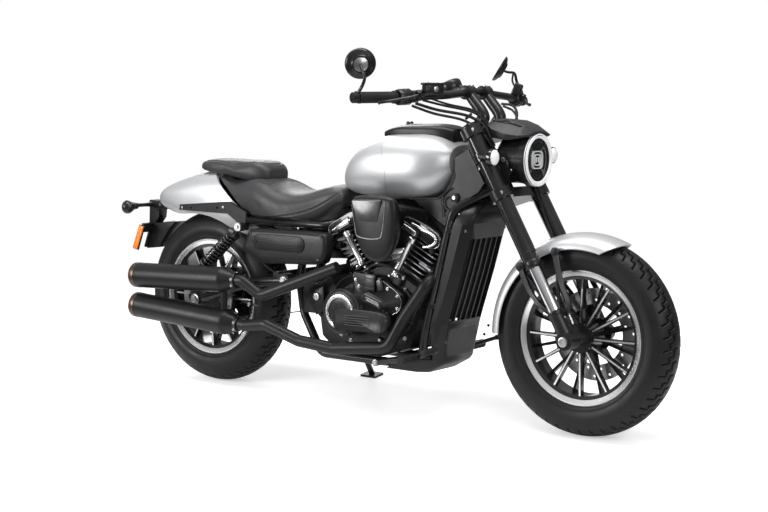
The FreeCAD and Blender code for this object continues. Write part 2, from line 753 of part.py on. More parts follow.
def build_front_caliper():
    # The housing straddles the disc behind the left lug, with a slot that clears the disc's rim.
    side = size("disc_side")
    outline = [vec(-112, 0, 62), (vec(-112, 0, 134)), vec(-96, 0, 146), vec(-52, 0, 146), vec(-42, 0, 134),
               vec(-42, 0, 62), vec(-54, 0, 52), vec(-100, 0, 52)]
    body = Part.Face(Part.makePolygon(outline + outline[:1])).extrude(vec(0, 2 * (caliper_outer() - side), 0))
    body.translate(vec(0, 2 * side - caliper_outer(), 0))
    slot = rod(vec(0, side - 5, 0), vec(0, side + 5, 0), size("disc_radius") + 6)
    body = biggest(body.cut(slot))
    add_piece("front_caliper", raked(body))


# Engine

def cylinder_place(lean):
    return FreeCAD.Placement(CRANK, FreeCAD.Rotation(Y_AXIS, lean))


def cylinder_leans():
    # Each cylinder's lean, and the sign of its own X towards the middle of the V.
    return ((size("front_cylinder_lean"), -1), (-size("rear_cylinder_lean"), 1))


def round_block(x_low, x_high, y_low, y_high, z_low, z_high, corner):
    block = box(x_low, x_high, y_low, y_high, z_low, z_high)
    upright = [edge for edge in block.Edges if abs(edge.tangentAt(0).z) > 0.9]
    return block.makeFillet(corner, upright)


def span(first, second):
    return min(first, second), max(first, second)


def finned_cylinder(inward):
    foot = size("cylinder_foot")
    head = size("cylinder_head")
    count = int(size("fin_count"))
    side = size("fin_side")
    pieces = [rod(vec(0, 0, foot + SEAT), vec(0, 0, head), size("cylinder_radius")),
              round_block(-50, 50, -64, 64, foot + SEAT, foot + 12, 14)]
    pitch = (head - foot - 24) / (count - 1)
    for index in range(count):
        low = foot + 19 + pitch * index
        share = index / (count - 1)
        outward = size("fin_foot_reach") + (size("fin_radius") - size("fin_foot_reach")) * min(1, share * 1.4)
        x_low, x_high = span(inward * size("fin_radius"), -inward * outward)
        pieces.append(round_block(x_low, x_high, -side, side, low, low + size("fin_thickness"), 16))
    pieces.append(rod(vec(-inward * 7, -size("port_side"), size("port_height")),
                      vec(-inward * size("port_reach"), -size("port_side"), size("port_height")), 27))
    return fuse(pieces)


def rocker_cover():
    head = size("cylinder_head")
    reach = size("fin_radius") + 2
    cover = round_block(-reach, reach, -92, 92, head + SEAT, head + size("rocker_height"), 22)
    top = [edge for edge in cover.Edges if edge.CenterOfMass.z > head + size("rocker_height") - 0.5]
    cover = cover.makeFillet(8, top)
    bump = round_block(-40, 40, -size("pushrod_side") - 18, -88.5, head - 12, head + 26, 12)
    return fuse([cover, bump])


def build_engine():
    foot = size("cylinder_foot")
    head = size("cylinder_head")
    cylinders = []
    rockers = []
    pushrods = []
    lifters = []
    decks = []
    for lean, inward in cylinder_leans():
        place = cylinder_place(lean)
        rod_x = inward * size("pushrod_inset")
        side = -size("pushrod_side")
        cylinder = finned_cylinder(inward)
        cover = rocker_cover()
        top = head - 12 - SEAT
        pin = turned([(0, foot + SEAT), (14, foot + SEAT), (14, foot + 12), (9, foot + 15), (9, top - 20),
                      (13, top - 17), (13, top), (0, top)], vec(rod_x, side, 0), Z_AXIS)
        lifter = round_block(rod_x - 18, rod_x + 18, side - 18, side + 20, foot - 30, foot, 8)
        deck = box(-130, 130, -200, 200, foot, foot + 200)
        pin.Placement = place.multiply(pin.Placement)
        for shape in (cylinder, cover, lifter, deck):
            shape.Placement = place
        cylinders.append(cylinder)
        rockers.append(cover)
        pushrods.append(pin)
        lifters.append(lifter)
        decks.append(deck)
    covers = right_covers().cut(Part.makeCompound(pushrods))
    add_piece("right_covers", covers)
    build_crankcase(decks, lifters, covers)
    add_piece("cylinders", Part.makeCompound(cylinders))
    add_piece("rocker_covers", Part.makeCompound(rockers))
    add_piece("pushrod_tubes", Part.makeCompound(pushrods))
    build_air_cleaner(cylinders)
    half = size("crankcase_width") / 2
    primary = capsule_plate((650, 322), (864, 300), 88, 100, half + SEAT, half + 54)
    rim = [edge for edge in primary.Edges if abs(edge.CenterOfMass.y - (half + 54)) < 0.1]
    add_piece("primary_cover", primary.makeFillet(12, rim))


def build_crankcase(decks, lifters, covers):
    half = size("crankcase_width") / 2
    bottom = size("rail_height") + size("frame_tube_radius") + SEAT
    outline = [(560, 330), (590, 430), (660, 520), (1020, 560), (1000, 440), (985, 330), (950, 230), (822, bottom),
               (640, bottom), (575, 240)]
    case = plate_xz(outline, -half, half)
    case = case.cut(Part.makeCompound(decks[:1])).cut(Part.makeCompound(decks[1:]))
    case = biggest(case)
    gearbox = round_block(474, 600, -half + 4, size("gearbox_side"), 312, 424, 16)
    case = fuse([case, gearbox] + lifters)
    add_piece("crankcase", case.cut(covers))


def right_covers():
    half = size("crankcase_width") / 2
    start = -half + 6
    hexagon = plate_xz([(741, 438), (735, 476), (846, 463), (930, 411), (930, 361), (879, 335), (745, 345)],
                       -140, start)
    round_cover = turned([(0, 0), (78, 0), (78, 58), (70, 66), (56, 68), (0, 68)], vec(698, start, 338), -Y_AXIS)
    small_pill = capsule_plate((808, 396), (868, 376), 17, 15, -168, start)
    big_pill = capsule_plate((692, 316), (880, 319), 34, 34, -198, -160)
    bridge = capsule_plate((790, 318), (856, 320), 26, 26, -170, start)
    shape = fuse([hexagon, round_cover, bridge, big_pill, small_pill])
    return shape.cut(box(400, 1100, -half - SEAT, half, 200, 600))


def build_air_cleaner(cylinders):
    # The housing, its throat and the manifold between the two heads are one bolted piece.
    outline = [(770, 723), (778, 738), (876, 746), (938, 733), (954, 680), (954, 617), (928, 533),
               (890, 522), (827, 538), (779, 627)]
    centre = vec(864, 0, 640)
    wires = []
    for y, share in ((-126, 0.94), (-138, 1.0), (-190, 0.97), (-204, 0.86)):
        scaled = [(centre.x + (x - centre.x) * share, centre.z + (z - centre.z) * share) for x, z in outline]
        wires.append(outline_xz(scaled, y))
    shell = Part.makeLoft(wires, True, True)
    plateau = Part.makeLoft([outline_xz([(796, 716), (900, 722), (892, 612), (808, 604)], -200),
                             outline_xz([(806, 710), (890, 714), (882, 640), (816, 634)], -216)], True, True)
    throat = cross_rod(840, 596, -130, 0, 30)
    manifold = rod(vec(740, 0, 594), vec(940, 0, 598), 21)
    body = fuse([shell, plateau, throat, manifold])
    for cylinder in cylinders:
        body = body.cut(cylinder)
    add_piece("air_cleaner", biggest(body))


def build_exhaust():
    radius = size("header_radius")
    ports = []
    for lean, inward in cylinder_leans():
        place = cylinder_place(lean)
        side = -size("port_side")
        face = place.multVec(vec(-inward * (size("port_reach") + SEAT), side, size("port_height")))
        out = place.multVec(vec(-inward * (size("port_reach") + 24), side, size("port_height")))
        ports.append((face, out))
    upper, lower = muffler_lines()
    front = tube([ports[0][0], ports[0][1], vec(1046, -138, 468), vec(955, -152, 335), vec(905, -168, 236),
                  vec(690, -192, 214), vec(550, -208, 228), vec(410, -222, 274), lower[1] + lower[2] * 30,
                  lower[1] + lower[2] * SEAT], radius, [24, 40, 45, 45, 45, 45, 45, 20])
    main = tube([vec(684, -164, 490), vec(378, -208, 370), upper[1] + upper[2] * 26, upper[1] + upper[2] * SEAT],
                radius, [40, 16])
    stub = tube([ports[1][0], ports[1][1], vec(652, -164, 474)], radius - 3, [22])
    add_piece("exhaust_headers", Part.makeCompound([front, fuse([main, stub])]))
    can = size("muffler_radius")
    cans = []
    for start, end, along in (upper, lower):
        length = (end - start).Length
        body = turned([(0, 26), (can - 5, 26), (can - 5, 0), (can - 2, 0), (can, 4), (can, length - 60),
                       (can - 5, length - 42), (radius + 5, length - 6), (radius + 5, length), (0, length)],
                      start, along)
        cans.append(body)
    joint = hanger(upper, lower)
    add_piece("mufflers", fuse(cans + [joint]))


def muffler_lines():
    lines = []
    for z_rear, x_front, z_front in ((405, 276, 418), (294.5, 288, 262)):
        start = vec(-201, -250, z_rear)
        end = vec(x_front, -222, z_front)
        lines.append((start, end, (end - start).normalize()))
    return lines


def hanger(upper, lower):
    # A bracket between the two mufflers holds them apart.
    top = upper[0] + upper[2] * 420
    low = lower[0] + lower[2] * 420
    return rod(low, top, 13)


# Frame

def build_frame():
    tube_radius = size("frame_tube_radius")
    neck_back = -size("fork_offset")
    neck_low = fork_point(neck_back, 0, size("clamp_low_up") + 3)
    neck_top = fork_point(neck_back, 0, size("clamp_top_up") - size("clamp_thickness") - 3)
    pieces = [rod(neck_low, neck_top, size("neck_radius"))]
    spine = size("spine_height")
    pieces.append(tube([fork_point(neck_back, 0, 650), vec(1100, 0, 748), vec(985, 0, spine), vec(690, 0, spine),
                        vec(606, 0, 640)], size("backbone_radius"), 60))
    rail = size("seat_rail_height")
    low = size("rail_height")
    pivot = vec(size("swing_pivot_ahead"), 0, size("swing_pivot_height"))
    for s in (-1, 1):
        cradle = tube([fork_point(neck_back, s * 16, 575), vec(1140, s * 78, 700), vec(1030, s * 84, 300),
                       vec(1000, s * 76, low), vec(900, s * 80, low), vec(820, s * 92, low), vec(560, s * 92, low),
                       vec(440, s * 44, 300), vec(pivot.x, s * 44, pivot.z), vec(500, s * 96, rail - 8)],
                      tube_radius, [60, 60, 50, 60, 60, 60, 60, 60, 60])
        seat = tube([vec(640, s * 20, 664), vec(600, s * 112, rail), vec(rail_front() + SEAT, s * 126, rail)],
                    tube_radius - 2, 40)
        strut = rod(vec(1113, s * 68, 622), vec(955, s * 40, 708), tube_radius - 3)
        pieces += [cradle, seat, strut]
        pieces.append(cross_rod(461, 520, *span(s * 80, s * (size("cover_inner") - SEAT)), 9))
        for x, z in ((1066, 384), (1134, 640)):
            pieces.append(cross_rod(x, z, *span(s * 78, s * (size("shroud_half") - size("shroud_wall") - SEAT)), 9))
    pieces.append(cross_rod(950, 708, -44, 44, tube_radius - 3))
    pieces.append(cross_rod(500, rail - 8, -104, 104, tube_radius - 2))
    pieces.append(cross_rod(pivot.x, pivot.z, -size("pivot_half"), size("pivot_half"), 16))
    pieces.append(cross_rod(1112, 745, -size("neck_panel_side") + SEAT, size("neck_panel_side") - SEAT, 9))
    pieces += stand_mount()
    pieces += foot_mounts()
    frame = fuse(pieces)
    bore = rod(fork_point(neck_back, 0, 500), fork_point(neck_back, 0, 800), size("stem_radius") + FIT)
    add_piece("frame", frame.cut(bore))


def rail_front():
    return 240


def stand_mount():
    hinge = stand_axis()
    post = stand_pivot()
    half_eye = size("stand_eye_width") / 2
    return [rod(post - hinge * (half_eye + SEAT + 24), post - hinge * (half_eye + SEAT), 15),
            rod(post - hinge * (half_eye + SEAT + 1), post + hinge * (half_eye + SEAT + 4), size("stand_pin_radius")),
            rod(post + hinge * (half_eye + SEAT), post + hinge * (half_eye + SEAT + 4), 11)]


def foot_mounts():
    # A stub on each lower rail carries the forward foot controls.
    low = size("rail_height")
    return [cross_rod(835, low + 3, *span(s * 90, s * 122), 13) for s in (-1, 1)]


def build_rear():
    pivot = vec(size("swing_pivot_ahead"), 0, size("swing_pivot_height"))
    inner = size("swing_eye_inner")
    outer = size("swing_eye_outer")
    parts = []
    for s in (-1, 1):
        arm = tube([vec(pivot.x, s * 122, pivot.z), vec(230, s * 127, 396), vec(24, s * 127, REAR_AXLE.z + 6)], 18, 80)
        eye = cross_rod(0, REAR_AXLE.z, *span(s * inner, s * outer), 31)
        boss = cross_rod(pivot.x, pivot.z, *span(s * (size("pivot_half") + SEAT), s * 138), 27)
        lug = plate_xz([(30, 390), (20, 440), (40, 462), (62, 458), (92, 390)], *span(s * 120, s * 134))
        shock_pin = cross_rod(48, 440, *span(s * 120, s * (size("shock_side") - 12 - SEAT)), 12)
        parts += [arm, eye, boss, lug, shock_pin]
    parts.append(cross_rod(372, 434, -120, 120, 15))
    swing = fuse(parts)
    swing = swing.cut(rod(vec(0, -200, REAR_AXLE.z), vec(0, 200, REAR_AXLE.z), size("axle_radius") + FIT))
    add_piece("swingarm", swing)
    build_shocks()
    build_rear_caliper()
    build_belt()


def build_shocks():
    # A twin shock: the coil spring's turns stand as ridges round the damper.
    count = int(size("coil_count"))
    core = size("coil_radius") - size("coil_wire")
    crest = size("coil_radius") + size("coil_wire")
    shocks = []
    for s in (-1, 1):
        side = s * size("shock_side")
        top = vec(234, side, 604)
        low = vec(48, side, 440)
        along = (top - low).normalize()
        length = (top - low).Length
        pitch = (length - 72) / count
        parts = [rod(low, low + along * 30, 9), rod(low + along * 20, top - along * 30, core),
                 rod(top - along * 40, top, 12)]
        for index in range(count + 1):
            start = low + along * (22 + pitch * index)
            parts.append(rod(start, start + along * pitch * 0.5, crest))
        parts.append(cross_rod(top.x, top.z, *span(side - 12, side + 12), 16))
        parts.append(cross_rod(low.x, low.z, *span(side - 12, side + 12), 16))
        shocks.append(fuse(parts))
    add_piece("shock_absorbers", Part.makeCompound(shocks))


def build_rear_caliper():
    side = -size("rear_disc_side")
    outline = [(96, 372), (62, 418), (88, 440), (140, 412), (150, 372), (128, 352)]
    body = plate_xz(outline, *span(side - 20, side + 18))
    slot = cross_rod(0, REAR_AXLE.z, *span(side - 5, side + 5), size("rear_disc_radius") + 6)
    body = body.cut(slot)
    bracket = plate_xz([(96, 372), (100, 400), (140, 400), (140, 380)], *span(side - 18, side - 30))
    add_piece("rear_caliper", biggest(fuse([body, bracket]).cut(node_shape("swingarm"))))


def build_belt():
    # A toothed belt from the gearbox to the wheel's pulley, on the left side.
    low = size("belt_side") - size("belt_width") / 2
    high = size("belt_side") + size("belt_width") / 2
    front = (size("sprocket_ahead"), size("sprocket_height"))
    wheel_radius = size("pulley_radius") + SEAT
    drive = size("sprocket_radius") + SEAT
    thick = size("belt_thickness")
    rear = (0, REAR_AXLE.z)
    outer = capsule_plate(rear, front, wheel_radius + thick, drive + thick, low, high)
    inner = capsule_plate(rear, front, wheel_radius, drive, low - 1, high + 1)
    add_piece("drive_belt", outer.cut(inner))
    wheel = cross_rod(front[0], front[1], low - 1, high + 1, size("sprocket_radius"))
    shaft = cross_rod(front[0], front[1], size("gearbox_side") + SEAT, high + 6, 18)
    add_piece("drive_sprocket", fuse([wheel, shaft]))


def node_shape(label):
    # A finished piece in the upright frame.
    for piece in nodes:
        if piece.Label == label:
            shape = piece.Shape.copy()
            shape.Placement = PLACE.inverse().multiply(piece.Placement)
            return shape
    raise KeyError(label)


def biggest(shape):
    return sorted(shape.Solids, key=lambda solid: solid.Volume)[-1]


# Bodywork

def tank_outer(grow):
    stations = [(642, 60, 752, 806), (662, 96, 741, 856), (704, 120, 733, 898), (770, 137, 728, 934),
                (860, 149, 726, 952), (950, 152, 730, 955), (1030, 138, 750, 948), (1074, 110, 786, 928),
                (1090, 92, 806, 916)]
    grown = [(x, half + grow, low - grow, high + grow) for x, half, low, high in stations]
    first = grown[0]
    last = grown[-1]
    grown[0] = (first[0] - grow, first[1], first[2], first[3])
    grown[-1] = (last[0] + grow, last[1], last[2], last[3])
    return oval_loft(grown, 2.5)


def hood_outer(grow):
    return oval_loft([(-256 - grow, 64 + grow, 690 - grow, 756 + grow), (-210, 92 + grow, 640, 782 + grow),
                      (-110, 110 + grow, 600, 796 + grow), (30, 117.4 + grow, 560, 797 + grow),
                      (150, 117.4 + grow, 550, 794 + grow), (230, 116 + grow, 550, 786 + grow)], 2.8)


def seat_joint_plane(shift):
    # The slanted joint where the rider's seat meets the rear fender: a box in front of it.
    start = vec(48 + shift, 0, 780)
    end = vec(205 + shift, 0, 655)
    along = (end - start).normalize()
    outline = [start - along * 60, end + along * 300, vec(900, 0, 400), vec(900, 0, 900), vec(start.x, 0, 900)]
    face = Part.Face(Part.makePolygon(outline + outline[:1]))
    face.translate(vec(0, -300, 0))
    return face.extrude(vec(0, 600, 0))


def build_body():
    tank = tank_outer(0)
    spine = rod(vec(600, 0, size("spine_height")), vec(1000, 0, size("spine_height")), size("backbone_radius") + SEAT)
    add_piece("fuel_tank", tank.cut(spine))
    build_console(tank)
    build_rear_fender()
    build_fender_rails()
    build_seats()
    build_side_panels()


def build_console(tank):
    cap_x = size("cap_ahead")
    top = size("console_top")
    console = oval_loft([(790, 44, 936, 958), (850, 62, 936, 972), (960, 66, 936, top),
                         (1052, 58, 926, top - 2), (1076, 48, 920, top - 8)], 4.0)
    console = biggest(console.cut(tank))
    seat_z = top - size("cap_seat_depth")
    hinge_x = cap_x - size("cap_radius") - size("cap_hinge_back")
    hinge_z = top + size("cap_hinge_rise")
    knuckle = size("knuckle_radius")
    console = console.cut(rod(vec(cap_x, 0, seat_z), vec(cap_x, 0, top + 20), size("cap_radius") + 1))
    console = console.cut(box(hinge_x - knuckle - 3, cap_x - 20, -9.3, 9.3, seat_z, top + 20))
    ears = [cross_rod(hinge_x, hinge_z, *span(s * 9.3, s * 14), knuckle) for s in (-1, 1)]
    ears += [box(hinge_x - knuckle, hinge_x + knuckle, *span(s * 9.3, s * 14), seat_z - 2, hinge_z) for s in (-1, 1)]
    pin = cross_rod(hinge_x, hinge_z, -10, 10, size("cap_pin_radius"))
    add_piece("tank_console", fuse([console] + ears + [pin]))
    lid = rod(vec(cap_x, 0, seat_z + SEAT), vec(cap_x, 0, seat_z + SEAT + size("cap_thickness")),
              size("cap_radius"))
    web = box(hinge_x, cap_x - 20, -9, 9, hinge_z - 3, seat_z + SEAT + size("cap_thickness"))
    lid = fuse([lid, web, cross_rod(hinge_x, hinge_z, -9, 9, knuckle)])
    add_piece("fuel_cap", lid.cut(cross_rod(hinge_x, hinge_z, -10, 10, size("cap_pin_radius") + FIT)))


def build_rear_fender():
    hood = hood_outer(0)
    inner = oval_loft([(-251, 59, 684, 751), (-210, 88, 630, 777), (-110, 106, 560, 791), (30, 113.4, 500, 792),
                       (150, 113.4, 480, 789), (232, 112, 480, 781)], 2.8)
    hood = hood.cut(inner)
    below = plate_xz([(-300, 300), (-300, 694), (-226, 694), (-142, 634), (-20, 640), (60, 628), (150, 588),
                      (300, 540), (300, 300)], -200, 200)
    hood = hood.cut(below).cut(seat_joint_plane(0))
    for s in (-1, 1):
        hood = hood.cut(rail_plate(s, SEAT))
    add_piece("rear_fender", biggest(hood))


def rail_plate(s, grow):
    inner = size("rail_side") - grow
    outer = size("rail_side") + size("rail_thickness") + grow
    outline = [(-92 - grow, 648 - grow), (-86 - grow, 668 + grow), (155, 690 + grow), (rail_front() + grow, 655 + grow),
               (rail_front() + grow, 590 - grow), (214, 590 - grow), (190, 622), (150, 645 - grow)]
    return plate_xz(outline, *span(s * inner, s * outer))


def build_fender_rails():
    rails = []
    for s in (-1, 1):
        outer = s * (size("rail_side") + size("rail_thickness"))
        boss = cross_rod(234 - 6, 604, *span(outer - s, s * (size("shock_side") - 12 - SEAT)), 12)
        arm = fuse([rail_plate(s, 0), boss])
        for x, z in ((-30, 658), (100, 664)):
            arm = arm.cut(cross_rod(x, z, *span(s * 100, s * 160), size("rail_hole_radius")))
        rails.append(arm)
    add_piece("fender_rails", Part.makeCompound(rails))


def build_seats():
    rail_top = size("seat_rail_height") + size("frame_tube_radius") - 2
    seat = oval_loft([(36, 84, 690, 769), (110, 104, 660, 772), (215, 128, 620, 774), (300, 144, 596, 768),
                      (370, 148, 594, 742), (430, 142, 596, 732), (500, 128, 612, 742), (560, 116, 650, 758),
                      (620, 112, 690, 768), (660, 104, 706, 746)], 3.0)
    seat = seat.cut(box(0, 700, -200, 200, 500, rail_top + SEAT))
    front_keep = seat_joint_plane(SEAT)
    seat = seat.common(front_keep)
    for s in (-1, 1):
        seat = seat.cut(rail_plate(s, SEAT))
    seat = seat.cut(tank_outer(0.6))
    seat = seat.cut(rod(vec(540, 0, size("spine_height")), vec(760, 0, size("spine_height")),
                        size("backbone_radius") + 1))
    seat = biggest(seat.cut(node_shape("frame")))
    add_piece("rider_seat", seat)
    pillion = oval_loft([(-64, 48, 784, 822), (-10, 80, 774, 836), (90, 92, 768, 838), (190, 90, 768, 838),
                         (254, 78, 768, 832), (284, 54, 772, 812)], 3.0)
    pillion = pillion.cut(hood_outer(SEAT)).cut(seat)
    add_piece("pillion_seat", biggest(pillion))


def build_side_panels():
    covers = []
    inner = size("cover_inner")
    for s in (-1, 1):
        outline = [(246, 524), (272, 598), (630, 604), (628, 506), (596, 490), (330, 478)]
        base = outline_xz(outline, s * inner)
        middle = outline_xz(outline, s * (inner + 24))
        centre_x = 440
        centre_z = 540
        small = [(centre_x + (x - centre_x) * 0.95, centre_z + (z - centre_z) * 0.86) for x, z in outline]
        cover = Part.makeLoft([base, middle, outline_xz(small, s * (inner + 34))], True, True)
        pad = capsule_plate((336, 561), (512, 561), 30, 30, *span(s * (inner + 30), s * (inner + 44)))
        covers.append(fuse([cover, pad]))
    add_piece("side_covers", Part.makeCompound(covers))
    build_shroud()
    panels = []
    side = size("neck_panel_side")
    for s in (-1, 1):
        outline = [(936, 736), (1040, 742), (1068, 762), (1094, 800), (1106, 829), (1104, 874), (1156, 905),
                   (1220, 797), (1194, 764), (1150, 740), (1118, 702), (1085, 648), (1066, 650)]
        panels.append(plate_xz(outline, *span(s * side, s * (side + 6))).cut(tank_outer(0.5)))
    add_piece("neck_covers", Part.makeCompound([biggest(panel) for panel in panels]))


def build_shroud():
    half = size("shroud_half")
    wall = size("shroud_wall")
    sections = [(152, 850, 1036, half - 18), (186, 896, 1106, half - 12), (200, 1044, 1130, half - 10),
                (317, 1041, 1123, half), (500, 1088, 1164, half), (664, 1129, 1198, half)]

    def channel(x_back, x_front, side, z, bevel):
        return Part.makePolygon([vec(x_back, -side, z), vec(x_front - bevel, -side, z), vec(x_front, -side + bevel * 1.3, z),
                                 vec(x_front, side - bevel * 1.3, z), vec(x_front - bevel, side, z), vec(x_back, side, z),
                                 vec(x_back, -side, z)])
    outer = Part.makeLoft([channel(back, front, side, z, 18) for z, back, front, side in sections], True, True)
    inner_wires = []
    for index, (z, back, front, side) in enumerate(sections):
        height = z + wall if index == 0 else z
        if index == len(sections) - 1:
            height = z + 1
        slack = wall + 1 if index else wall - 3
        inner_wires.append(channel(back - 60, front - slack, side - wall, height, 17))
    shroud = outer.cut(Part.makeLoft(inner_wires, True, True))
    slots = []
    count = int(size("grille_slots"))
    pitch = (2 * half - 40.0) / count
    for index in range(count):
        y = -half + 20 + pitch * (index + 0.5)
        low = Part.makePolygon([vec(x, y + side * (pitch - size("grille_rib")) / 2, 332)
                                for x, side in ((1062, -1), (1300, -1), (1300, 1), (1062, 1), (1062, -1))])
        high = Part.makePolygon([vec(x, y + side * (pitch - size("grille_rib")) / 2, 612)
                                 for x, side in ((1130, -1), (1300, -1), (1300, 1), (1130, 1), (1130, -1))])
        slots.append(Part.makeLoft([low, high], True, True))
    shroud = shroud.cut(Part.makeCompound(slots)).cut(node_shape("frame"))
    add_piece("radiator_shroud", biggest(shroud))
    core_side = half - wall - SEAT
    core = plate_xz([(1074, 338), (1096, 334), (1158, 610), (1136, 614)], -core_side, core_side)
    add_piece("radiator", core)


def build_tail():
    arm = plate_xz([(-180, 646), (-180, 668), (-386, 664), (-392, 640)], -26, 26)
    post = box(-226, -196, -18, 18, 660, 800)
    post = post.common(oval_loft([(-252, 70, 600, 760), (-200, 90, 600, 785), (-150, 100, 600, 792)], 2.8))
    mask = plate_xz([(-390, 655), (-392, 566), (-346, 492), (-334, 496), (-372, 570), (-366, 655)], -26, 26)
    plate = plate_xz([(-402, 577), (-394, 581), (-345, 499), (-353, 495)], -90, 90)
    flap = plate_xz([(-372, 575), (-216, 586), (-242, 562), (-266, 532), (-298, 500), (-344, 494)], -34, 34)
    flap = flap.cut(plate_xz([(-362, 564), (-232, 573), (-250, 554), (-274, 524), (-302, 507), (-340, 503)], -30, 30))
    bracket = fuse([arm, post, mask, plate, flap]).cut(node_shape("rear_fender"))
    add_piece("plate_bracket", biggest(bracket))
    lamp = box(-270, -251, -50, 50, 698, 724).cut(node_shape("rear_fender"))
    add_piece("tail_light", biggest(lamp))
    lamps = []
    for s in (-1, 1):
        stalk = rod(vec(-376, s * (26 + SEAT), 652), vec(-376, s * 118, 648), 8)
        bulb = turned([(0, 0), (12, 3), (20, 18), (17, 34), (0, 38)], vec(-366, s * 140, 646), vec(-1, s * 0.3, 0))
        joiner = rod(vec(-376, s * 110, 648), vec(-378, s * 142, 647), 9)
        lamps.append(fuse([stalk, joiner, bulb]))
    add_piece("rear_indicators", Part.makeCompound(lamps))
    reflectors = [plate_xz([(-402, 574), (-393, 576), (-358, 482), (-366, 478)], *span(s * 90.3, s * 97))
                  for s in (-1, 1)]
    add_piece("side_reflectors", Part.makeCompound(reflectors))


def build_controls():
    pieces = []
    low = size("rail_height")
    for s in (-1, 1):
        arm = rod(vec(835, s * (122 + SEAT + 12), low + 3), vec(1010, s * 152, 212), 11)
        foot = cross_rod(835, low + 3, *span(s * (122 + SEAT), s * 146), 13)
        peg = rod(vec(1014, s * 140, 212), vec(1014, s * 250, 212), 13)
        lever = rod(vec(1014, s * 152, 212), vec(1112, s * 192, 250), 7)
        pad = rod(vec(1112, s * 185, 250), vec(1112, s * 262, 250), 9)
        pieces.append(fuse([arm, foot, peg, lever, pad]))
    add_piece("foot_controls", Part.makeCompound(pieces))


def stand_pivot():
    return vec(size("stand_pivot_ahead"), size("stand_pivot_side"), size("stand_pivot_height"))


def stand_foot():
    reach = size("stand_reach")
    floor = reach * math.tan(math.radians(LEAN))
    return vec(size("stand_pivot_ahead") - size("stand_set_back"), reach, floor + size("stand_pad_thickness"))


def stand_axis():
    # The leg turns from its parked direction to one that points back along the frame.
    parked = (stand_foot() - stand_pivot()).normalize()
    folded = vec(-0.985, 0.10, 0.14).normalize()
    change = (parked - folded).normalize()
    axis = Y_AXIS - change * change.dot(Y_AXIS)
    return axis.normalize()


def build_stand():
    pivot = stand_pivot()
    foot = stand_foot()
    hinge = stand_axis()
    half_eye = size("stand_eye_width") / 2
    leg = rod(pivot, foot, size("stand_radius"))
    leg = leg.cut(rod(pivot + hinge * half_eye, pivot + hinge * 80, 15))
    leg = leg.cut(rod(pivot - hinge * half_eye, pivot - hinge * 80, 24))
    pad = box(-34, 34, -26, 26, 0, size("stand_pad_thickness"))
    pad.rotate(ORIGIN, X_AXIS, LEAN)
    pad.translate(vec(foot.x, foot.y, foot.z - size("stand_pad_thickness")))
    eye = rod(pivot - hinge * half_eye, pivot + hinge * half_eye, size("stand_eye_radius"))
    solid = fuse([leg, pad, eye])
    solid = solid.cut(rod(pivot - hinge * 60, pivot + hinge * 60, size("stand_pin_radius") + FIT))
    add_piece("side_stand", biggest(solid))


def write_steps():
    os.makedirs("parts", exist_ok=True)
    for piece in nodes:
        piece.Shape.exportStep("parts/%s.step" % piece.Label)


def check_model():
    doc.recompute()
    for item in doc.Objects:
        if "Invalid" in item.State or "Error" in item.State:
            raise RuntimeError("failed object: " + item.Label)
    bad = [piece.Label for piece in nodes if piece.Shape.isNull() or not piece.Shape.isValid()]
    if bad:
        raise RuntimeError("bad shapes: " + ", ".join(bad))


build_wheels()
build_axles()
build_fork()
build_front_fender()
build_headlight()
build_handlebar()
build_front_caliper()
build_engine()
build_exhaust()
build_frame()
build_rear()
build_body()
build_tail()
build_controls()
build_stand()
check_model()
write_steps()
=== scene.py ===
import math

import bmesh
import bpy
from mathutils import Matrix, Vector
from mathutils.bvhtree import BVHTree


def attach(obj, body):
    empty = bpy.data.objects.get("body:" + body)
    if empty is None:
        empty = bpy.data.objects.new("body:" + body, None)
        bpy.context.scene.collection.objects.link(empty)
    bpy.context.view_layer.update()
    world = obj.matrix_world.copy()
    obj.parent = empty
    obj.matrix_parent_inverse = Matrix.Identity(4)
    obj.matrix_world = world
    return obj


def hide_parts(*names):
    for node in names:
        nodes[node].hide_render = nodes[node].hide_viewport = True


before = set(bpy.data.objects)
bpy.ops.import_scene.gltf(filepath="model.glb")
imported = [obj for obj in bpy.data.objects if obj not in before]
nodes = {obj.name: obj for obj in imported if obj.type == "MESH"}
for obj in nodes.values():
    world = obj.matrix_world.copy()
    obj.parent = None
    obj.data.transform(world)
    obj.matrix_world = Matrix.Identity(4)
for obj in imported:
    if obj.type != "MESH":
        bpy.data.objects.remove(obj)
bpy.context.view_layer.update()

# Places. Pieces are drawn in millimetres on the upright bike, with the rear axle over X = 0.
LEAN = math.radians(8)
LEAN_TURN = Matrix.Rotation(-LEAN, 3, "X")
UPRIGHT = Matrix.Translation((-0.736, -0.1485, 0)) @ Matrix.Rotation(-LEAN, 4, "X") @ Matrix.Scale(0.001, 4)
TO_UPRIGHT = UPRIGHT.inverted()
REAR_AXLE = Vector((0, 0, 322.737))
FRONT_AXLE = Vector((1562, 0, 319.639))
RAKE = math.radians(30)
FORK = Matrix.Translation(FRONT_AXLE) @ Matrix.Rotation(-RAKE, 4, "Y")
FORK_TURN = FORK.to_3x3()
FORK_SIDE = 115
CRANK = Vector((845, 0, 298))
CYLINDER_LEANS = (27, -29)
SPOKE_PITCH = math.radians(30)
SIDES = (-1, 1)

# The place that the photograph was taken from, and its lens in pixels.
CAMERA_AT = (3837.3, -4202.9, 1043.1)
CAMERA_YAW, CAMERA_PITCH, CAMERA_ROLL = (math.radians(angle) for angle in (-36.2006, -5.7083, 0.6666))
FOCAL_PIXELS, PICTURE_WIDTH, SENSOR_WIDTH = 1504.1, 768, 36


def fork_point(ahead, side, up):
    return FORK @ Vector((ahead, side, up))


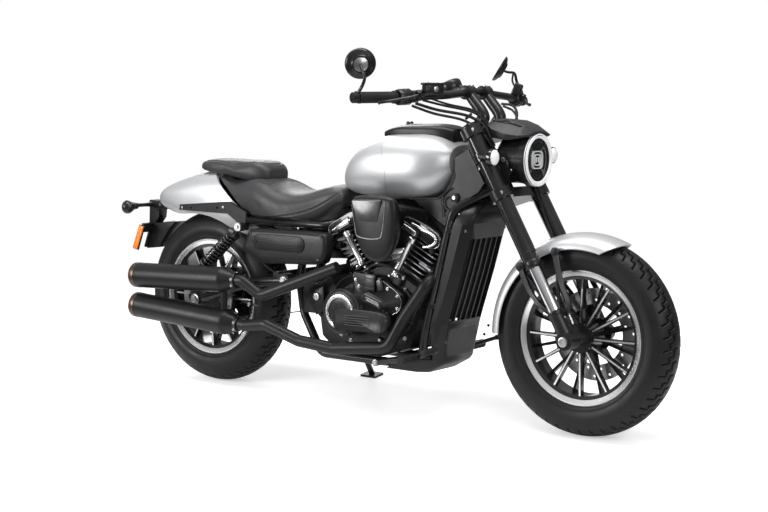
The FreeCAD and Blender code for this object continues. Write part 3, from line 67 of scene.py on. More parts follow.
def set_camera():
    level_share = math.cos(CAMERA_PITCH)
    forward = Vector((math.sin(CAMERA_YAW) * level_share, math.cos(CAMERA_YAW) * level_share,
                      math.sin(CAMERA_PITCH)))
    level = forward.cross(Vector((0, 0, 1))).normalized()
    right = level * math.cos(CAMERA_ROLL) + level.cross(forward) * math.sin(CAMERA_ROLL)
    upward = right.cross(forward)
    turn = Matrix((LEAN_TURN @ right, LEAN_TURN @ upward, LEAN_TURN @ -forward)).transposed()
    data = bpy.data.cameras.new("photo_camera")
    data.sensor_width = SENSOR_WIDTH
    data.lens = FOCAL_PIXELS / PICTURE_WIDTH * SENSOR_WIDTH
    camera = bpy.data.objects.new("photo_camera", data)
    camera.matrix_world = Matrix.Translation(UPRIGHT @ Vector(CAMERA_AT)) @ turn.to_4x4()
    bpy.context.scene.collection.objects.link(camera)
    bpy.context.scene.camera = camera


# Node materials

def feed(tree, socket, value):
    """Links another node's output to a socket, or sets a plain value there."""
    if isinstance(value, bpy.types.NodeSocket):
        tree.links.new(value, socket)
    else:
        socket.default_value = value


def add_node(tree, kind, values=(), **settings):
    """A new node with its first inputs filled in order."""
    node = tree.nodes.new("ShaderNode" + kind)
    for name, value in settings.items():
        setattr(node, name, value)
    for socket, value in zip(node.inputs, values):
        feed(tree, socket, value)
    return node


class Net:
    """Short names for building one material's nodes."""

    INPUTS = {"colour": "Base Color", "rough": "Roughness", "metal": "Metallic", "coat": "Coat Weight",
              "coat_rough": "Coat Roughness", "specular": "Specular IOR Level", "emission": "Emission Color",
              "glow": "Emission Strength", "sheen": "Sheen Weight", "alpha": "Alpha"}

    def __init__(self, name):
        self.material = bpy.data.materials.new(name)
        self.material.use_nodes = True
        self.tree = self.material.node_tree
        self.shader = self.tree.nodes["Principled BSDF"]
        self.bumped = self.shader.inputs["Normal"]
        places = self.tree.nodes.new("ShaderNodeTexCoord").outputs
        self.coords, self.outward = places["Object"], places["Normal"]

    def put(self, socket, value):
        feed(self.tree, socket, value)

    def node(self, kind, values=(), **settings):
        return add_node(self.tree, kind, values, **settings)

    def math(self, operation, *values):
        return self.node("Math", values, operation=operation).outputs[0]

    def fold(self, operation, first, *others):
        """One value out of many, such as the product of masks."""
        for other in others:
            first = self.math(operation, first, other)
        return first

    def above(self, value, limit):
        return self.math("GREATER_THAN", value, limit)

    def below(self, value, limit):
        return self.math("LESS_THAN", value, limit)

    def vector(self, operation, *values):
        outputs = self.node("VectorMath", values, operation=operation).outputs
        return outputs["Value" if operation in ("DOT_PRODUCT", "LENGTH") else "Vector"]

    def along(self, direction, vector=None):
        """How far the surface's place, or another vector, lies along a direction of the upright bike."""
        return self.vector("DOT_PRODUCT", vector or self.coords, tuple(LEAN_TURN @ Vector(direction)))

    def noise(self, scale, detail=3, stretch=None):
        node = self.node("TexNoise")
        node.inputs["Scale"].default_value = scale
        node.inputs["Detail"].default_value = detail
        node.inputs["Roughness"].default_value = 0.55
        self.put(node.inputs["Vector"], self.vector("MULTIPLY", self.coords, stretch) if stretch else self.coords)
        return node.outputs["Fac"]

    def rings(self, radial, scale):
        """Fine circles about an axle."""
        node = self.node("TexNoise", noise_dimensions="1D")
        node.inputs["Scale"].default_value = scale
        self.put(node.inputs["W"], radial)
        return node.outputs["Fac"]

    def cells(self, scale, feature="F1"):
        node = self.node("TexVoronoi", feature=feature)
        node.inputs["Scale"].default_value = scale
        self.put(node.inputs["Vector"], self.coords)
        return node.outputs["Distance"]

    def span(self, value, low, high, to_low=0.0, to_high=1.0):
        return self.node("MapRange", (value, low, high, to_low, to_high)).outputs[0]

    def mix(self, share, first, second):
        node = self.node("Mix", data_type="RGBA")
        for index, value in ((0, share), (6, first), (7, second)):
            self.put(node.inputs[index], value)
        return node.outputs[2]

    def mix_number(self, share, first, second):
        node = self.node("Mix")
        for index, value in ((0, share), (2, first), (3, second)):
            self.put(node.inputs[index], value)
        return node.outputs[0]

    def bump(self, height, strength, distance):
        node = self.node("Bump")
        node.inputs["Strength"].default_value = strength
        node.inputs["Distance"].default_value = distance
        self.put(node.inputs["Height"], height)
        if self.bumped.is_linked:
            self.put(node.inputs["Normal"], self.bumped.links[0].from_socket)
        self.put(self.bumped, node.outputs[0])

    def set(self, **values):
        for key, value in values.items():
            self.put(self.shader.inputs[self.INPUTS[key]], value)

    def current(self, key):
        """What feeds one of the shader's inputs so far."""
        return self.shader.inputs[self.INPUTS[key]].links[0].from_socket


def rgb(red, green, blue):
    return (red, green, blue, 1.0)


def surface(name, colour, rough, metal=0.0, vary=0.12, patch=9.0, rough_vary=0.05, grain=None, **extra):
    """A coloured surface with slow colour and gloss variation, and a fine grain in its bump."""
    net = Net(name)
    dark, light = (rgb(*[min(1, channel * share) for channel in colour]) for share in (1 - vary, 1 + vary))
    net.set(colour=net.mix(net.noise(patch, 4), dark, light), metal=metal)
    net.set(rough=net.span(net.noise(patch * 3.7, 5), 0.25, 0.75, rough - rough_vary, rough + rough_vary))
    if grain:
        scale, strength, distance = grain
        net.bump(net.noise(scale, 2), strength, distance)
    if max(colour) < 0.1 and metal < 0.3:
        extra.setdefault("specular", 0.24)
    net.set(**extra)
    return net


def from_axle(net, centre):
    """The offset from an axle's middle, the radius about it and the distance along it."""
    axis = (0, 1, 0)
    offset = net.vector("SUBTRACT", net.coords, tuple(UPRIGHT @ centre))
    side = net.along(axis, offset)
    scaled = net.node("VectorMath", (tuple(LEAN_TURN @ Vector(axis)),), operation="SCALE")
    net.put(scaled.inputs["Scale"], side)
    radial = net.vector("LENGTH", net.vector("SUBTRACT", offset, scaled.outputs[0]))
    return offset, radial, side


def wheel_material(name, centre, half_width):
    """Gloss black casting with a machined lip ring and machined spoke faces on one side."""
    lip_from, lip_depth = 0.198, 0.014
    spokes_from, spokes_to, line_half = 0.050, 0.187, 0.0027
    net = surface(name, (0.012, 0.012, 0.013), 0.22, grain=(700, 0.12, 0.0004), coat=0.5, coat_rough=0.08)
    offset, radial, side = from_axle(net, centre)
    facing = net.along((0, 1, 0), net.outward)
    ring = net.fold("MULTIPLY", net.above(net.math("ABSOLUTE", facing), 0.3), net.above(radial, lip_from),
                    net.above(net.math("ABSOLUTE", side), half_width / 1000 - lip_depth))
    turn = net.math("DIVIDE", net.math("ARCTAN2", net.along((1, 0, 0), offset), net.along((0, 0, 1), offset)),
                    SPOKE_PITCH)
    swing = net.math("SUBTRACT", turn, net.math("ROUND", turn))
    from_middle = net.fold("MULTIPLY", swing, SPOKE_PITCH, radial)
    faces = net.fold("MULTIPLY", net.below(facing, -0.70), net.above(radial, spokes_from),
                     net.below(side, -0.004), net.below(radial, spokes_to),
                     net.below(net.math("ABSOLUTE", from_middle), line_half))
    bright = net.fold("MAXIMUM", ring, faces)
    machined = net.mix(net.noise(1, 2), rgb(0.80, 0.80, 0.81), rgb(0.92, 0.92, 0.93))
    machined_rough = net.span(net.rings(radial, 2600), 0.3, 0.7, 0.16, 0.34)
    net.set(colour=net.mix(bright, net.current("colour"), machined),
            rough=net.mix_number(bright, net.current("rough"), machined_rough), metal=bright)
    return net.material


def fin_material(name):
    """Black cylinders whose fin edges are machined bright."""
    net = surface(name, (0.012, 0.012, 0.013), 0.34, vary=0.2, patch=16)
    front, rear = (net.along((math.sin(math.radians(lean)), 0, math.cos(math.radians(lean))), net.outward)
                   for lean in CYLINDER_LEANS)
    in_front = net.above(net.along((1, 0, 0)), 0.109)
    edge = net.below(net.math("ABSOLUTE", net.mix_number(in_front, rear, front)), 0.2)
    net.set(colour=net.mix(edge, net.current("colour"), rgb(0.20, 0.20, 0.21)),
            metal=net.math("MULTIPLY", edge, 0.8))
    return net.material


def disc_material(name, centre):
    """Ground brake disc: fine circles on the swept ring, darker carrier."""
    net = surface(name, (0.42, 0.42, 0.43), 0.3, metal=1.0, vary=0.1)
    _, radial, _ = from_axle(net, centre)
    net.bump(net.rings(radial, 1900), 0.2, 0.0003)
    carrier = net.below(radial, 0.090)
    net.set(colour=net.mix(carrier, net.current("colour"), rgb(0.03, 0.03, 0.032)),
            metal=net.mix_number(carrier, 1.0, 0.2))
    return net.material


def leather(name):
    net = surface(name, (0.030, 0.030, 0.032), 0.44, vary=0.2, patch=14, rough_vary=0.07)
    net.bump(net.cells(620, "DISTANCE_TO_EDGE"), 0.35, 0.0006)
    net.bump(net.noise(60, 4), 0.12, 0.002)
    net.set(sheen=0.05, specular=0.34)
    return net.material


def silver(name):
    """Satin silver paint: fine metal flakes under a soft clear coat."""
    net = surface(name, (0.50, 0.505, 0.515), 0.42, metal=0.62, vary=0.03, patch=3, rough_vary=0.03)
    flakes = net.span(net.cells(3800), 0.2, 0.7, 0.0, 0.16)
    net.set(colour=net.mix(flakes, net.current("colour"), rgb(0.82, 0.83, 0.85)), coat=0.25, coat_rough=0.25)
    net.bump(net.noise(260, 2), 0.03, 0.0004)
    return net.material


def radiator_fins(name):
    fin_pitch, tube_pitch = 0.0026, 0.011
    net = surface(name, (0.035, 0.035, 0.037), 0.5, metal=0.5)
    for direction, pitch, strength, depth in (((0.25, 0, 1), fin_pitch, 0.8, 0.0012),
                                              ((0, 1, 0), tube_pitch, 0.5, 0.0015)):
        wave = net.math("SINE", net.math("MULTIPLY", net.along(direction), 2 * math.pi / pitch))
        net.bump(wave, strength, depth)
    return net.material


def prism_lens(name, colour, cell, **extra):
    net = surface(name, colour, 0.12, vary=0.1, patch=30, **extra)
    net.bump(net.cells(cell), 0.6, 0.001)
    return net.material


def brushed(name, colour, rough, stretch=(1, 1, 14)):
    net = surface(name, colour, rough, metal=1.0, vary=0.05)
    net.bump(net.noise(420, 3, stretch), 0.12, 0.0003)
    return net.material


# Plain surfaces: name, colour, roughness and what differs from the usual.
SURFACES = {
    "satin_black": ("satin_black_paint", (0.010, 0.010, 0.011), 0.30, dict(
        patch=12, vary=0.2, grain=(900, 0.12, 0.0003), coat=0.2, coat_rough=0.25)),
    "gloss_black": ("gloss_black_paint", (0.008, 0.008, 0.009), 0.18, dict(
        patch=12, vary=0.2, grain=(300, 0.03, 0.0003), coat=0.6, coat_rough=0.06)),
    "tube_black": ("fork_tube_black", (0.010, 0.010, 0.011), 0.22, dict(
        vary=0.2, grain=(260, 0.05, 0.0003), coat=0.5, coat_rough=0.12)),
    "engine_black": ("engine_wrinkle_black", (0.011, 0.011, 0.012), 0.36, dict(
        vary=0.25, patch=16, grain=(1300, 0.45, 0.0005))),
    "engine_cover": ("engine_cover_black", (0.020, 0.020, 0.021), 0.34, dict(
        vary=0.15, patch=12, grain=(900, 0.1, 0.0004))),
    "cover_grey": ("cover_dark_grey", (0.045, 0.045, 0.047), 0.36, dict(
        vary=0.12, patch=12, grain=(1100, 0.2, 0.0004))),
    "plastic": ("moulded_black_plastic", (0.012, 0.012, 0.013), 0.33, dict(
        vary=0.15, patch=10, grain=(1500, 0.3, 0.0004))),
    "plastic_grey": ("moulded_grey_plastic", (0.026, 0.026, 0.028), 0.42, dict(
        vary=0.12, patch=10, grain=(1500, 0.3, 0.0004))),
    "panel_grey": ("air_cleaner_panel", (0.06, 0.06, 0.062), 0.22, dict(metal=0.35, vary=0.1, patch=10)),
    "exhaust": ("exhaust_matte_black", (0.009, 0.009, 0.010), 0.38, dict(
        vary=0.2, patch=8, grain=(800, 0.25, 0.0004))),
    "bronze": ("bronze_tip", (0.10, 0.060, 0.048), 0.34, dict(
        metal=0.8, vary=0.2, patch=26, grain=(900, 0.1, 0.0003))),
    "thread": ("seat_thread", (0.10, 0.10, 0.105), 0.7, dict(grain=(3000, 0.5, 0.0004))),
    "tyre": ("tyre_rubber_matte", (0.009, 0.009, 0.010), 0.44, dict(
        vary=0.25, patch=7, rough_vary=0.1, grain=(900, 0.3, 0.0005))),
    # Near-black matte for the tread's deep groove faces: painted shade in the grooves.
    "groove": ("tread_groove_painted_shade", (0.003, 0.003, 0.003), 0.9, dict(specular=0.1)),
    "rubber": ("grip_rubber_fine", (0.015, 0.015, 0.015), 0.65, dict(vary=0.2, grain=(1600, 0.4, 0.0005))),
    "thin_glass": ("lamp_thin_glass", (0.02, 0.02, 0.02), 0.05, dict(vary=0.01, rough_vary=0.01, alpha=0.10)),
    "white_ring": ("light_ring_white", (0.78, 0.79, 0.80), 0.2, dict(
        vary=0.05, rough_vary=0.03, emission=rgb(1, 1, 1), glow=0.12)),
    "mirror": ("mirror_glass", (0.80, 0.82, 0.84), 0.05, dict(metal=1.0, vary=0.01, patch=3, rough_vary=0.015)),
    "reflector": ("lamp_reflector", (0.55, 0.55, 0.56), 0.14, dict(metal=1.0, vary=0.1)),
    "lamp_dark": ("lamp_dark_face", (0.012, 0.012, 0.013), 0.25, dict(grain=(600, 0.2, 0.0004))),
    "seam_grey": ("tank_seam_shadow", (0.16, 0.16, 0.165), 0.5, dict(metal=0.4)),
    "screen": ("gauge_screen", (0.006, 0.007, 0.008), 0.08, dict(coat=0.8, coat_rough=0.03)),
    "marks": ("gauge_marks", (0.75, 0.76, 0.78), 0.5, {}),
}
MATS = {}


def make_materials():
    for key, (name, colour, rough, extra) in SURFACES.items():
        MATS[key] = surface(name, colour, rough, **extra).material
    MATS.update({
        "silver": silver("silver_paint_satin"),
        "chrome": brushed("polished_chrome", (0.78, 0.78, 0.80), 0.12, (1, 1, 1)),
        "machined": brushed("machined_alloy", (0.62, 0.62, 0.63), 0.26),
        "steel": brushed("zinc_steel", (0.45, 0.45, 0.46), 0.32),
        "dark_steel": brushed("dark_steel", (0.06, 0.06, 0.062), 0.34),
        "leather": leather("seat_leather_grain"),
        "fins": fin_material("cylinder_fins"),
        "front_wheel": wheel_material("front_wheel_cast", FRONT_AXLE, 46),
        "rear_wheel": wheel_material("rear_wheel_cast", REAR_AXLE, 59),
        "front_disc": disc_material("front_disc_ground", FRONT_AXLE),
        "rear_disc": disc_material("rear_disc_ground", REAR_AXLE),
        "radiator": radiator_fins("radiator_core_fins"),
        "white_lens": prism_lens("indicator_clear", (0.82, 0.83, 0.84), 420, emission=rgb(1, 1, 1), glow=0.12),
        "dark_lens": prism_lens("indicator_smoked", (0.030, 0.028, 0.027), 420),
        "amber": prism_lens("reflector_amber", (0.82, 0.20, 0.015), 520),
        "red": prism_lens("tail_lens_red", (0.42, 0.010, 0.012), 520),
    })


# Mesh helpers

def circle(count):
    """The angles of even steps around a full turn."""
    return [2 * math.pi * step / count for step in range(count)]


def axis_matrix(origin, direction):
    turn = Vector((0, 0, 1)).rotation_difference(Vector(direction)).to_matrix().to_4x4()
    return Matrix.Translation(Vector(origin)) @ turn


def outward(x, y, z):
    """A place on a flank whose axis points away from the bike's middle."""
    return axis_matrix((x, y, z), (0, math.copysign(1, y), 0))


def placed(x, y, z, turn=0.0, axis="Y"):
    return Matrix.Translation((x, y, z)) @ Matrix.Rotation(turn, 4, axis)


def ahead_frame(x, y, z):
    """A place that faces forward: local x is left, local y is up, local z is ahead."""
    return Matrix(((0, 0, 1, x), (1, 0, 0, y), (0, 1, 0, z), (0, 0, 0, 1)))


def side_frame(side):
    """Outlines drawn as (x, z) on a plane of constant y, thickness along y outward."""
    return Matrix(((1, 0, 0, 0), (0, 0, side, 0), (0, 1, 0, 0), (0, 0, 0, 1)))


def on_side(points, y):
    """Points drawn as (x, z), set on a plane of constant y."""
    return [Vector((x, y, z)) for x, z in points]


def loops_to_mesh(bm, loops, cap=True, material=0):
    """Joins rows of points into a skin. Each row is one ring."""
    rows = [[bm.verts.new(point) for point in loop] for loop in loops]
    count = len(rows[0])
    for first, second in zip(rows, rows[1:]):
        for index in range(count):
            after = (index + 1) % count
            bm.faces.new((first[index], first[after], second[after], second[index])).material_index = material
    if cap:
        bm.faces.new(rows[0]).material_index = material
        bm.faces.new(rows[-1][::-1]).material_index = material


def lathe(bm, profile, place, count=40, material=0, cap=True):
    """A turned form. The profile is (radius, height) pairs from one end to the other."""
    least = 0.02
    rings = []
    for radius, height in profile:
        radius = max(radius, least)
        rings.append([place @ Vector((radius * math.cos(turn), radius * math.sin(turn), height))
                      for turn in circle(count)])
    loops_to_mesh(bm, rings, cap=cap, material=material)


def curve_between(a, b, c, d, t):
    """A point of the smooth curve from b to c, for numbers or vectors. The share along it is t."""
    return 0.5 * (2 * b + (c - a) * t + (2 * a - 5 * b + 4 * c - d) * t * t + (3 * b - a - 3 * c + d) * t ** 3)


def rounded(points, per=6):
    """A smooth line through the given points."""
    points = [Vector(point) for point in points]
    ends = [points[0] * 2 - points[1]] + points + [points[-1] * 2 - points[-2]]
    line = [curve_between(a, b, c, d, step / per) for a, b, c, d in zip(ends, ends[1:], ends[2:], ends[3:])
            for step in range(per)]
    return line + [points[-1]]


def smooth_rows(rows, per=6):
    """The same table with a smooth curve through its rows."""
    ends = [rows[0]] + list(rows) + [rows[-1]]
    table = [[curve_between(*column, step / per) for column in zip(*four)]
             for four in zip(ends, ends[1:], ends[2:], ends[3:]) for step in range(per)]
    return table + [list(rows[-1])]


def ring_curve(points, per=6):
    """A smooth closed curve through flat points."""
    curve = []
    for index in range(len(points)):
        four = [points[(index + shift) % len(points)] for shift in (-1, 0, 1, 2)]
        curve += [tuple(curve_between(*column, step / per) for column in zip(*four)) for step in range(per)]
    return curve


def between(rows, value):
    """Straight-line reading of a table whose first column rises."""
    if value <= rows[0][0]:
        return rows[0][1:]
    for first, second in zip(rows, rows[1:]):
        if value <= second[0]:
            share = (value - first[0]) / (second[0] - first[0])
            return [a + (b - a) * share for a, b in zip(first[1:], second[1:])]
    return rows[-1][1:]


def sweep(bm, line, radius, count=12, material=0, closed=False):
    """A round tube along a line. The radius is one number or a function of the share along it."""
    line = [Vector(point) for point in line]
    total = len(line)
    rings = []
    normal = None
    for index, point in enumerate(line):
        if closed:
            ahead = line[(index + 1) % total] - line[index - 1]
        else:
            ahead = line[min(index + 1, total - 1)] - line[max(index - 1, 0)]
        ahead.normalize()
        if normal is None:
            normal = ahead.orthogonal().normalized()
        normal = (normal - ahead * normal.dot(ahead)).normalized()
        across = ahead.cross(normal)
        size = radius(index / (total - 1)) if callable(radius) else radius
        rings.append([point + (normal * math.cos(turn) + across * math.sin(turn)) * size
                      for turn in circle(count)])
    if closed:
        rings.append(rings[0])
    loops_to_mesh(bm, rings, cap=not closed, material=material)
    if closed:
        bmesh.ops.remove_doubles(bm, verts=bm.verts, dist=0.0005)


def strap(bm, line, width, thickness):
    """A flat bar along a line, its width in the bike's side view a function of the share along it."""
    side = Vector((0, 1, 0))
    corners = ((1, 0.5), (0.8, 1), (-0.8, 1), (-1, 0.5), (-1, -0.5), (-0.8, -1), (0.8, -1), (1, -0.5))
    last = len(line) - 1
    rings = []
    for index, point in enumerate(line):
        flat = (line[min(index + 1, last)] - line[max(index - 1, 0)]).cross(side).normalized()
        wide = width(index / last) / 2
        rings.append([point + flat * wide * a + side * thickness / 2 * b for a, b in corners])
    loops_to_mesh(bm, rings)


def join(bm, part, place, material=0):
    bmesh.ops.recalc_face_normals(part, faces=part.faces)
    fresh = {vert: bm.verts.new(place @ vert.co) for vert in part.verts}
    for face in part.faces:
        bm.faces.new([fresh[vert] for vert in face.verts]).material_index = material
    part.free()


def round_edges(part, edges, bevel, segments):
    if bevel:
        bmesh.ops.bevel(part, geom=edges, offset=bevel, segments=segments, affect="EDGES", profile=0.5)


def block(bm, size, place, bevel=1.0, segments=2, material=0):
    """A box with rounded edges, centred on its place."""
    part = bmesh.new()
    bmesh.ops.create_cube(part, size=1)
    for vert in part.verts:
        vert.co = vert.co * Vector(size)
    round_edges(part, part.edges[:], bevel, segments)
    join(bm, part, place, material)


def slab(bm, outline, low, high, place, bevel=1.0, segments=2, material=0):
    """A plate with the given flat outline, from height low to high, with rounded rims."""
    part = bmesh.new()
    face = part.faces.new([part.verts.new((x, y, low)) for x, y in outline])
    for item in bmesh.ops.extrude_face_region(part, geom=[face])["geom"]:
        if isinstance(item, bmesh.types.BMVert):
            item.co.z = high
    rims = [edge for edge in part.edges if abs(edge.verts[0].co.z - edge.verts[1].co.z) < 1e-6]
    round_edges(part, rims, bevel, segments)
    join(bm, part, place, material)


def bolt(bm, at, radius=5.0, height=4.0, kind="socket", material=0, direction=None):
    """A small fastener, facing away from the bike's middle if no direction is given.

    A socket head has a hexagonal hole, a hex head six flats, a dome a round crown.
    """
    place = outward(*at) if direction is None else axis_matrix(at, direction)
    if kind == "hex":
        lathe(bm, [(radius * 1.25, -1), (radius * 1.25, 0.8), (radius, 0.8)], place, 20, material)
        lathe(bm, [(radius, 0.5), (radius, height * 0.8), (radius * 0.85, height)], place, 6, material)
    elif kind == "dome":
        lathe(bm, [(radius, -1), (radius, height * 0.3), (radius * 0.8, height * 0.75), (radius * 0.35, height),
                   (0, height)], place, 20, material)
    else:
        lathe(bm, [(radius, -1), (radius, height - 0.7), (radius * 0.86, height), (radius * 0.55, height)],
              place, 20, material)
        lathe(bm, [(radius * 0.55, height), (radius * 0.52, height * 0.45), (0, height * 0.4)], place, 6, material)


def emit(name, bm, body, mats, replaced=(), angle=35):
    """Makes a piece of a finished mesh. Edges sharper than the angle stay sharp."""
    bmesh.ops.recalc_face_normals(bm, faces=bm.faces)
    mesh = bpy.data.meshes.new(name)
    bm.to_mesh(mesh)
    bm.free()
    mesh.transform(UPRIGHT)
    piece = bpy.data.objects.new(name, mesh)
    bpy.context.scene.collection.objects.link(piece)
    for mat in mats:
        mesh.materials.append(MATS[mat])
    mesh.polygons.foreach_set("use_smooth", [True] * len(mesh.polygons))
    mesh.set_sharp_from_angle(angle=math.radians(angle))
    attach(piece, body)
    if replaced:
        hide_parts(*replaced)


def reshaped(name, node, mat, change, angle=35):
    """A CAD node's surface on the chassis with its points moved, in upright millimetres."""
    bm = bmesh.new()
    bm.from_mesh(nodes[node].data)
    bmesh.ops.remove_doubles(bm, verts=bm.verts, dist=0.00002)
    bmesh.ops.transform(bm, matrix=TO_UPRIGHT, verts=bm.verts)
    for vert in bm.verts:
        vert.co = change(vert.co)
    emit(name, bm, "chassis", [mat], [node], angle)


def mesh_tree(mesh):
    """A search tree of a surface, in upright millimetres."""
    return BVHTree.FromPolygons([TO_UPRIGHT @ vert.co for vert in mesh.vertices],
                                [face.vertices[:] for face in mesh.polygons])


def dropped(tree, starts, direction):
    """Where points land on a surface when they travel along a direction."""
    hits = [tree.ray_cast(start, Vector(direction))[0] for start in starts]
    return [hit for hit in hits if hit is not None]


# Wheels and tyres

TREAD_PITCH, STEPS_PER_PITCH = 44.0, 21
# Groove faces cut deeper than the last of these numbers take the near-black groove material, a painted shade.
GROOVE_DEPTH, GROOVE_HALF, GROOVE_FLANK, PAINTED_SHADE_FROM = 4.6, 3.6, 1.2, 1.2
# One sipe of the tread, as (across, around) from the crown's middle out to the shoulder.
SIPE = [(6, 0), (21, 5), (20, 27), (37, 33), (36, 51), (58, 58)]
BEAD_RADIUS = 216.4
# The wall from shoulder to bead: share of its height, share of the half width, and how far a line stands out.
WALL_ROWS = [(0.12, 0.995, 0), (0.3, 0.975, 0), (0.5, 0.94, 0.4), (0.6, 0.915, 0.4), (0.63, 0.90, -0.2),
             (0.8, 0.85, 0), (0.86, 0.83, 1.0), (0.94, 0.80, 1.0), (0.97, 0.775, 0)]


def wheel_point(centre, radius, turn, side):
    """A point of a wheel. The turn is measured forward from its top."""
    return centre + Vector((radius * math.sin(turn), side, radius * math.cos(turn)))


def tread_groove(around, across):
    """Depth of the tread's grooves, 0 to 1. Both lengths are in millimetres from the crown's middle."""
    reach = abs(across)
    place = (around + (TREAD_PITCH / 2 if across < 0 else 0)) % TREAD_PITCH
    near = math.inf
    for (from_reach, from_around), (to_reach, to_around) in zip(SIPE, SIPE[1:]):
        run = Vector((to_reach - from_reach, to_around - from_around))
        for lap in (-TREAD_PITCH, 0, TREAD_PITCH):
            gap = Vector((reach - from_reach, place + lap - from_around))
            share = max(0.0, min(1.0, gap.dot(run) / run.length_squared))
            near = min(near, (gap - run * share).length)
    return max(0.0, min(1.0, (GROOVE_HALF - near) / GROOVE_FLANK))


def tyre_section(radius, crown, rim_half):
    """The section from bead to bead: across, radius, and distance from the crown's middle.

    Off the tread the distance is None.
    """
    shoulder = radius - crown
    tread_reach, tread_steps = 1.08, 60
    tread = []
    for step in range(tread_steps + 1):
        turn = -tread_reach + 2 * tread_reach * step / tread_steps
        tread.append((crown * math.sin(turn), shoulder + crown * math.cos(turn), crown * turn))
    wall = [(crown * math.sin(turn) + rise * 0.8, shoulder + crown * math.cos(turn), None)
            for turn, rise in ((1.32, 0.0), (1.40, 0.55), (1.48, 0.55), (1.56, 0.0))]
    for share, swell, ridge in WALL_ROWS:
        least = rim_half + 1.0 if share > 0.93 else 0
        wall.append((max(crown * swell + ridge, least), shoulder + (BEAD_RADIUS - shoulder) * share, None))
    wall += [(rim_half - 9, BEAD_RADIUS + 0.8, None), (rim_half - 9, BEAD_RADIUS - 4.2, None)]
    return [(-across, rise, None) for across, rise, _ in wall[::-1]] + tread + wall


def tyre(name, node, body, centre, radius, width, rim_half):
    crown = width / 2
    turns = circle(round(2 * math.pi * radius / TREAD_PITCH) * STEPS_PER_PITCH)
    bm = bmesh.new()
    rows = []
    sunk = set()
    for across, rise, along in tyre_section(radius, crown, rim_half):
        # The pattern repeats after each pitch, so each spot of one pitch is worked out once.
        cuts, tilt = [0.0] * STEPS_PER_PITCH, 0.0
        if along is not None:
            cuts = [GROOVE_DEPTH * tread_groove(step / STEPS_PER_PITCH * TREAD_PITCH, along)
                    for step in range(STEPS_PER_PITCH)]
            tilt = along / crown
        row = []
        for index, turn in enumerate(turns):
            cut = cuts[index % STEPS_PER_PITCH]
            row.append(bm.verts.new(wheel_point(centre, rise - cut * math.cos(tilt), turn,
                                                across - cut * math.sin(tilt))))
            # Points deeper than this are marked for the painted groove shade. A face whose points are all marked
            # takes it.
            if cut > PAINTED_SHADE_FROM:
                sunk.add(row[-1])
        rows.append(row)
    for first, second in zip(rows, rows[1:] + rows[:1]):
        for index in range(len(turns)):
            after = (index + 1) % len(turns)
            face = bm.faces.new((first[index], first[after], second[after], second[index]))
            face.material_index = int(all(vert in sunk for vert in face.verts))
    emit(name, bm, body, ["tyre", "groove"], [node], angle=50)


def wheel_trim(name, body, centre, disc_face):
    """The disc's bolts and the valve."""
    bm = bmesh.new()
    for turn in circle(5):
        bolt(bm, wheel_point(centre, 48, turn + 0.3, disc_face), 5.5, 4)
    valve = wheel_point(centre, 186, 2.1, 0)
    inward = (centre - valve).normalized()
    lathe(bm, [(6, -2), (6, 3), (4, 5), (4, 20), (3.2, 21), (3.2, 30), (2, 31)],
          axis_matrix(valve + inward, inward + Vector((0, -0.35, 0))), 16, 1)
    emit(name, bm, body, ["dark_steel", "rubber"])


def make_wheels():
    tyre("front_tyre_tread", "front_tyre", "front_wheel", FRONT_AXLE, 319, 130, 46)
    tyre("rear_tyre_tread", "rear_tyre", "rear_wheel", REAR_AXLE, 322, 150, 59)
    wheel_trim("front_wheel_trim", "front_wheel", FRONT_AXLE, 64.5)
    wheel_trim("rear_wheel_trim", "rear_wheel", REAR_AXLE, -76.5)


# Front end

# What is turned on each fork leg: dust seal, its ring, lug collar, top cap and the cap's hexagon.
LEG_PARTS = (
    ([(21, 252), (24, 252), (27.6, 256.5), (28.4, 262), (28.4, 276), (27.05, 278)], 40),
    ([(27.05, 300), (28, 301), (28, 306), (27.05, 307)], 40),
    ([(20.5, 101.5), (25.6, 101), (26.4, 97), (26.4, 88), (25.02, 86)], 40),
    ([(24, 763.9), (22, 767), (17, 768.5), (9, 768.5), (9, 766), (0, 766)], 36),
    ([(9, 766), (8.6, 774), (0, 775)], 6),
)
# The fender's two stays on each side, from the fender down, as (x, z), and their distances from the middle.
STAYS = (((1494, 592), (1518, 505), (1554, 432)), ((1368, 536), (1408, 462), (1466, 410)))
STAY_SIDES = (92, 96, 103)


def fork_leg(side):
    return FORK @ Matrix.Translation((0, side * FORK_SIDE, 0))


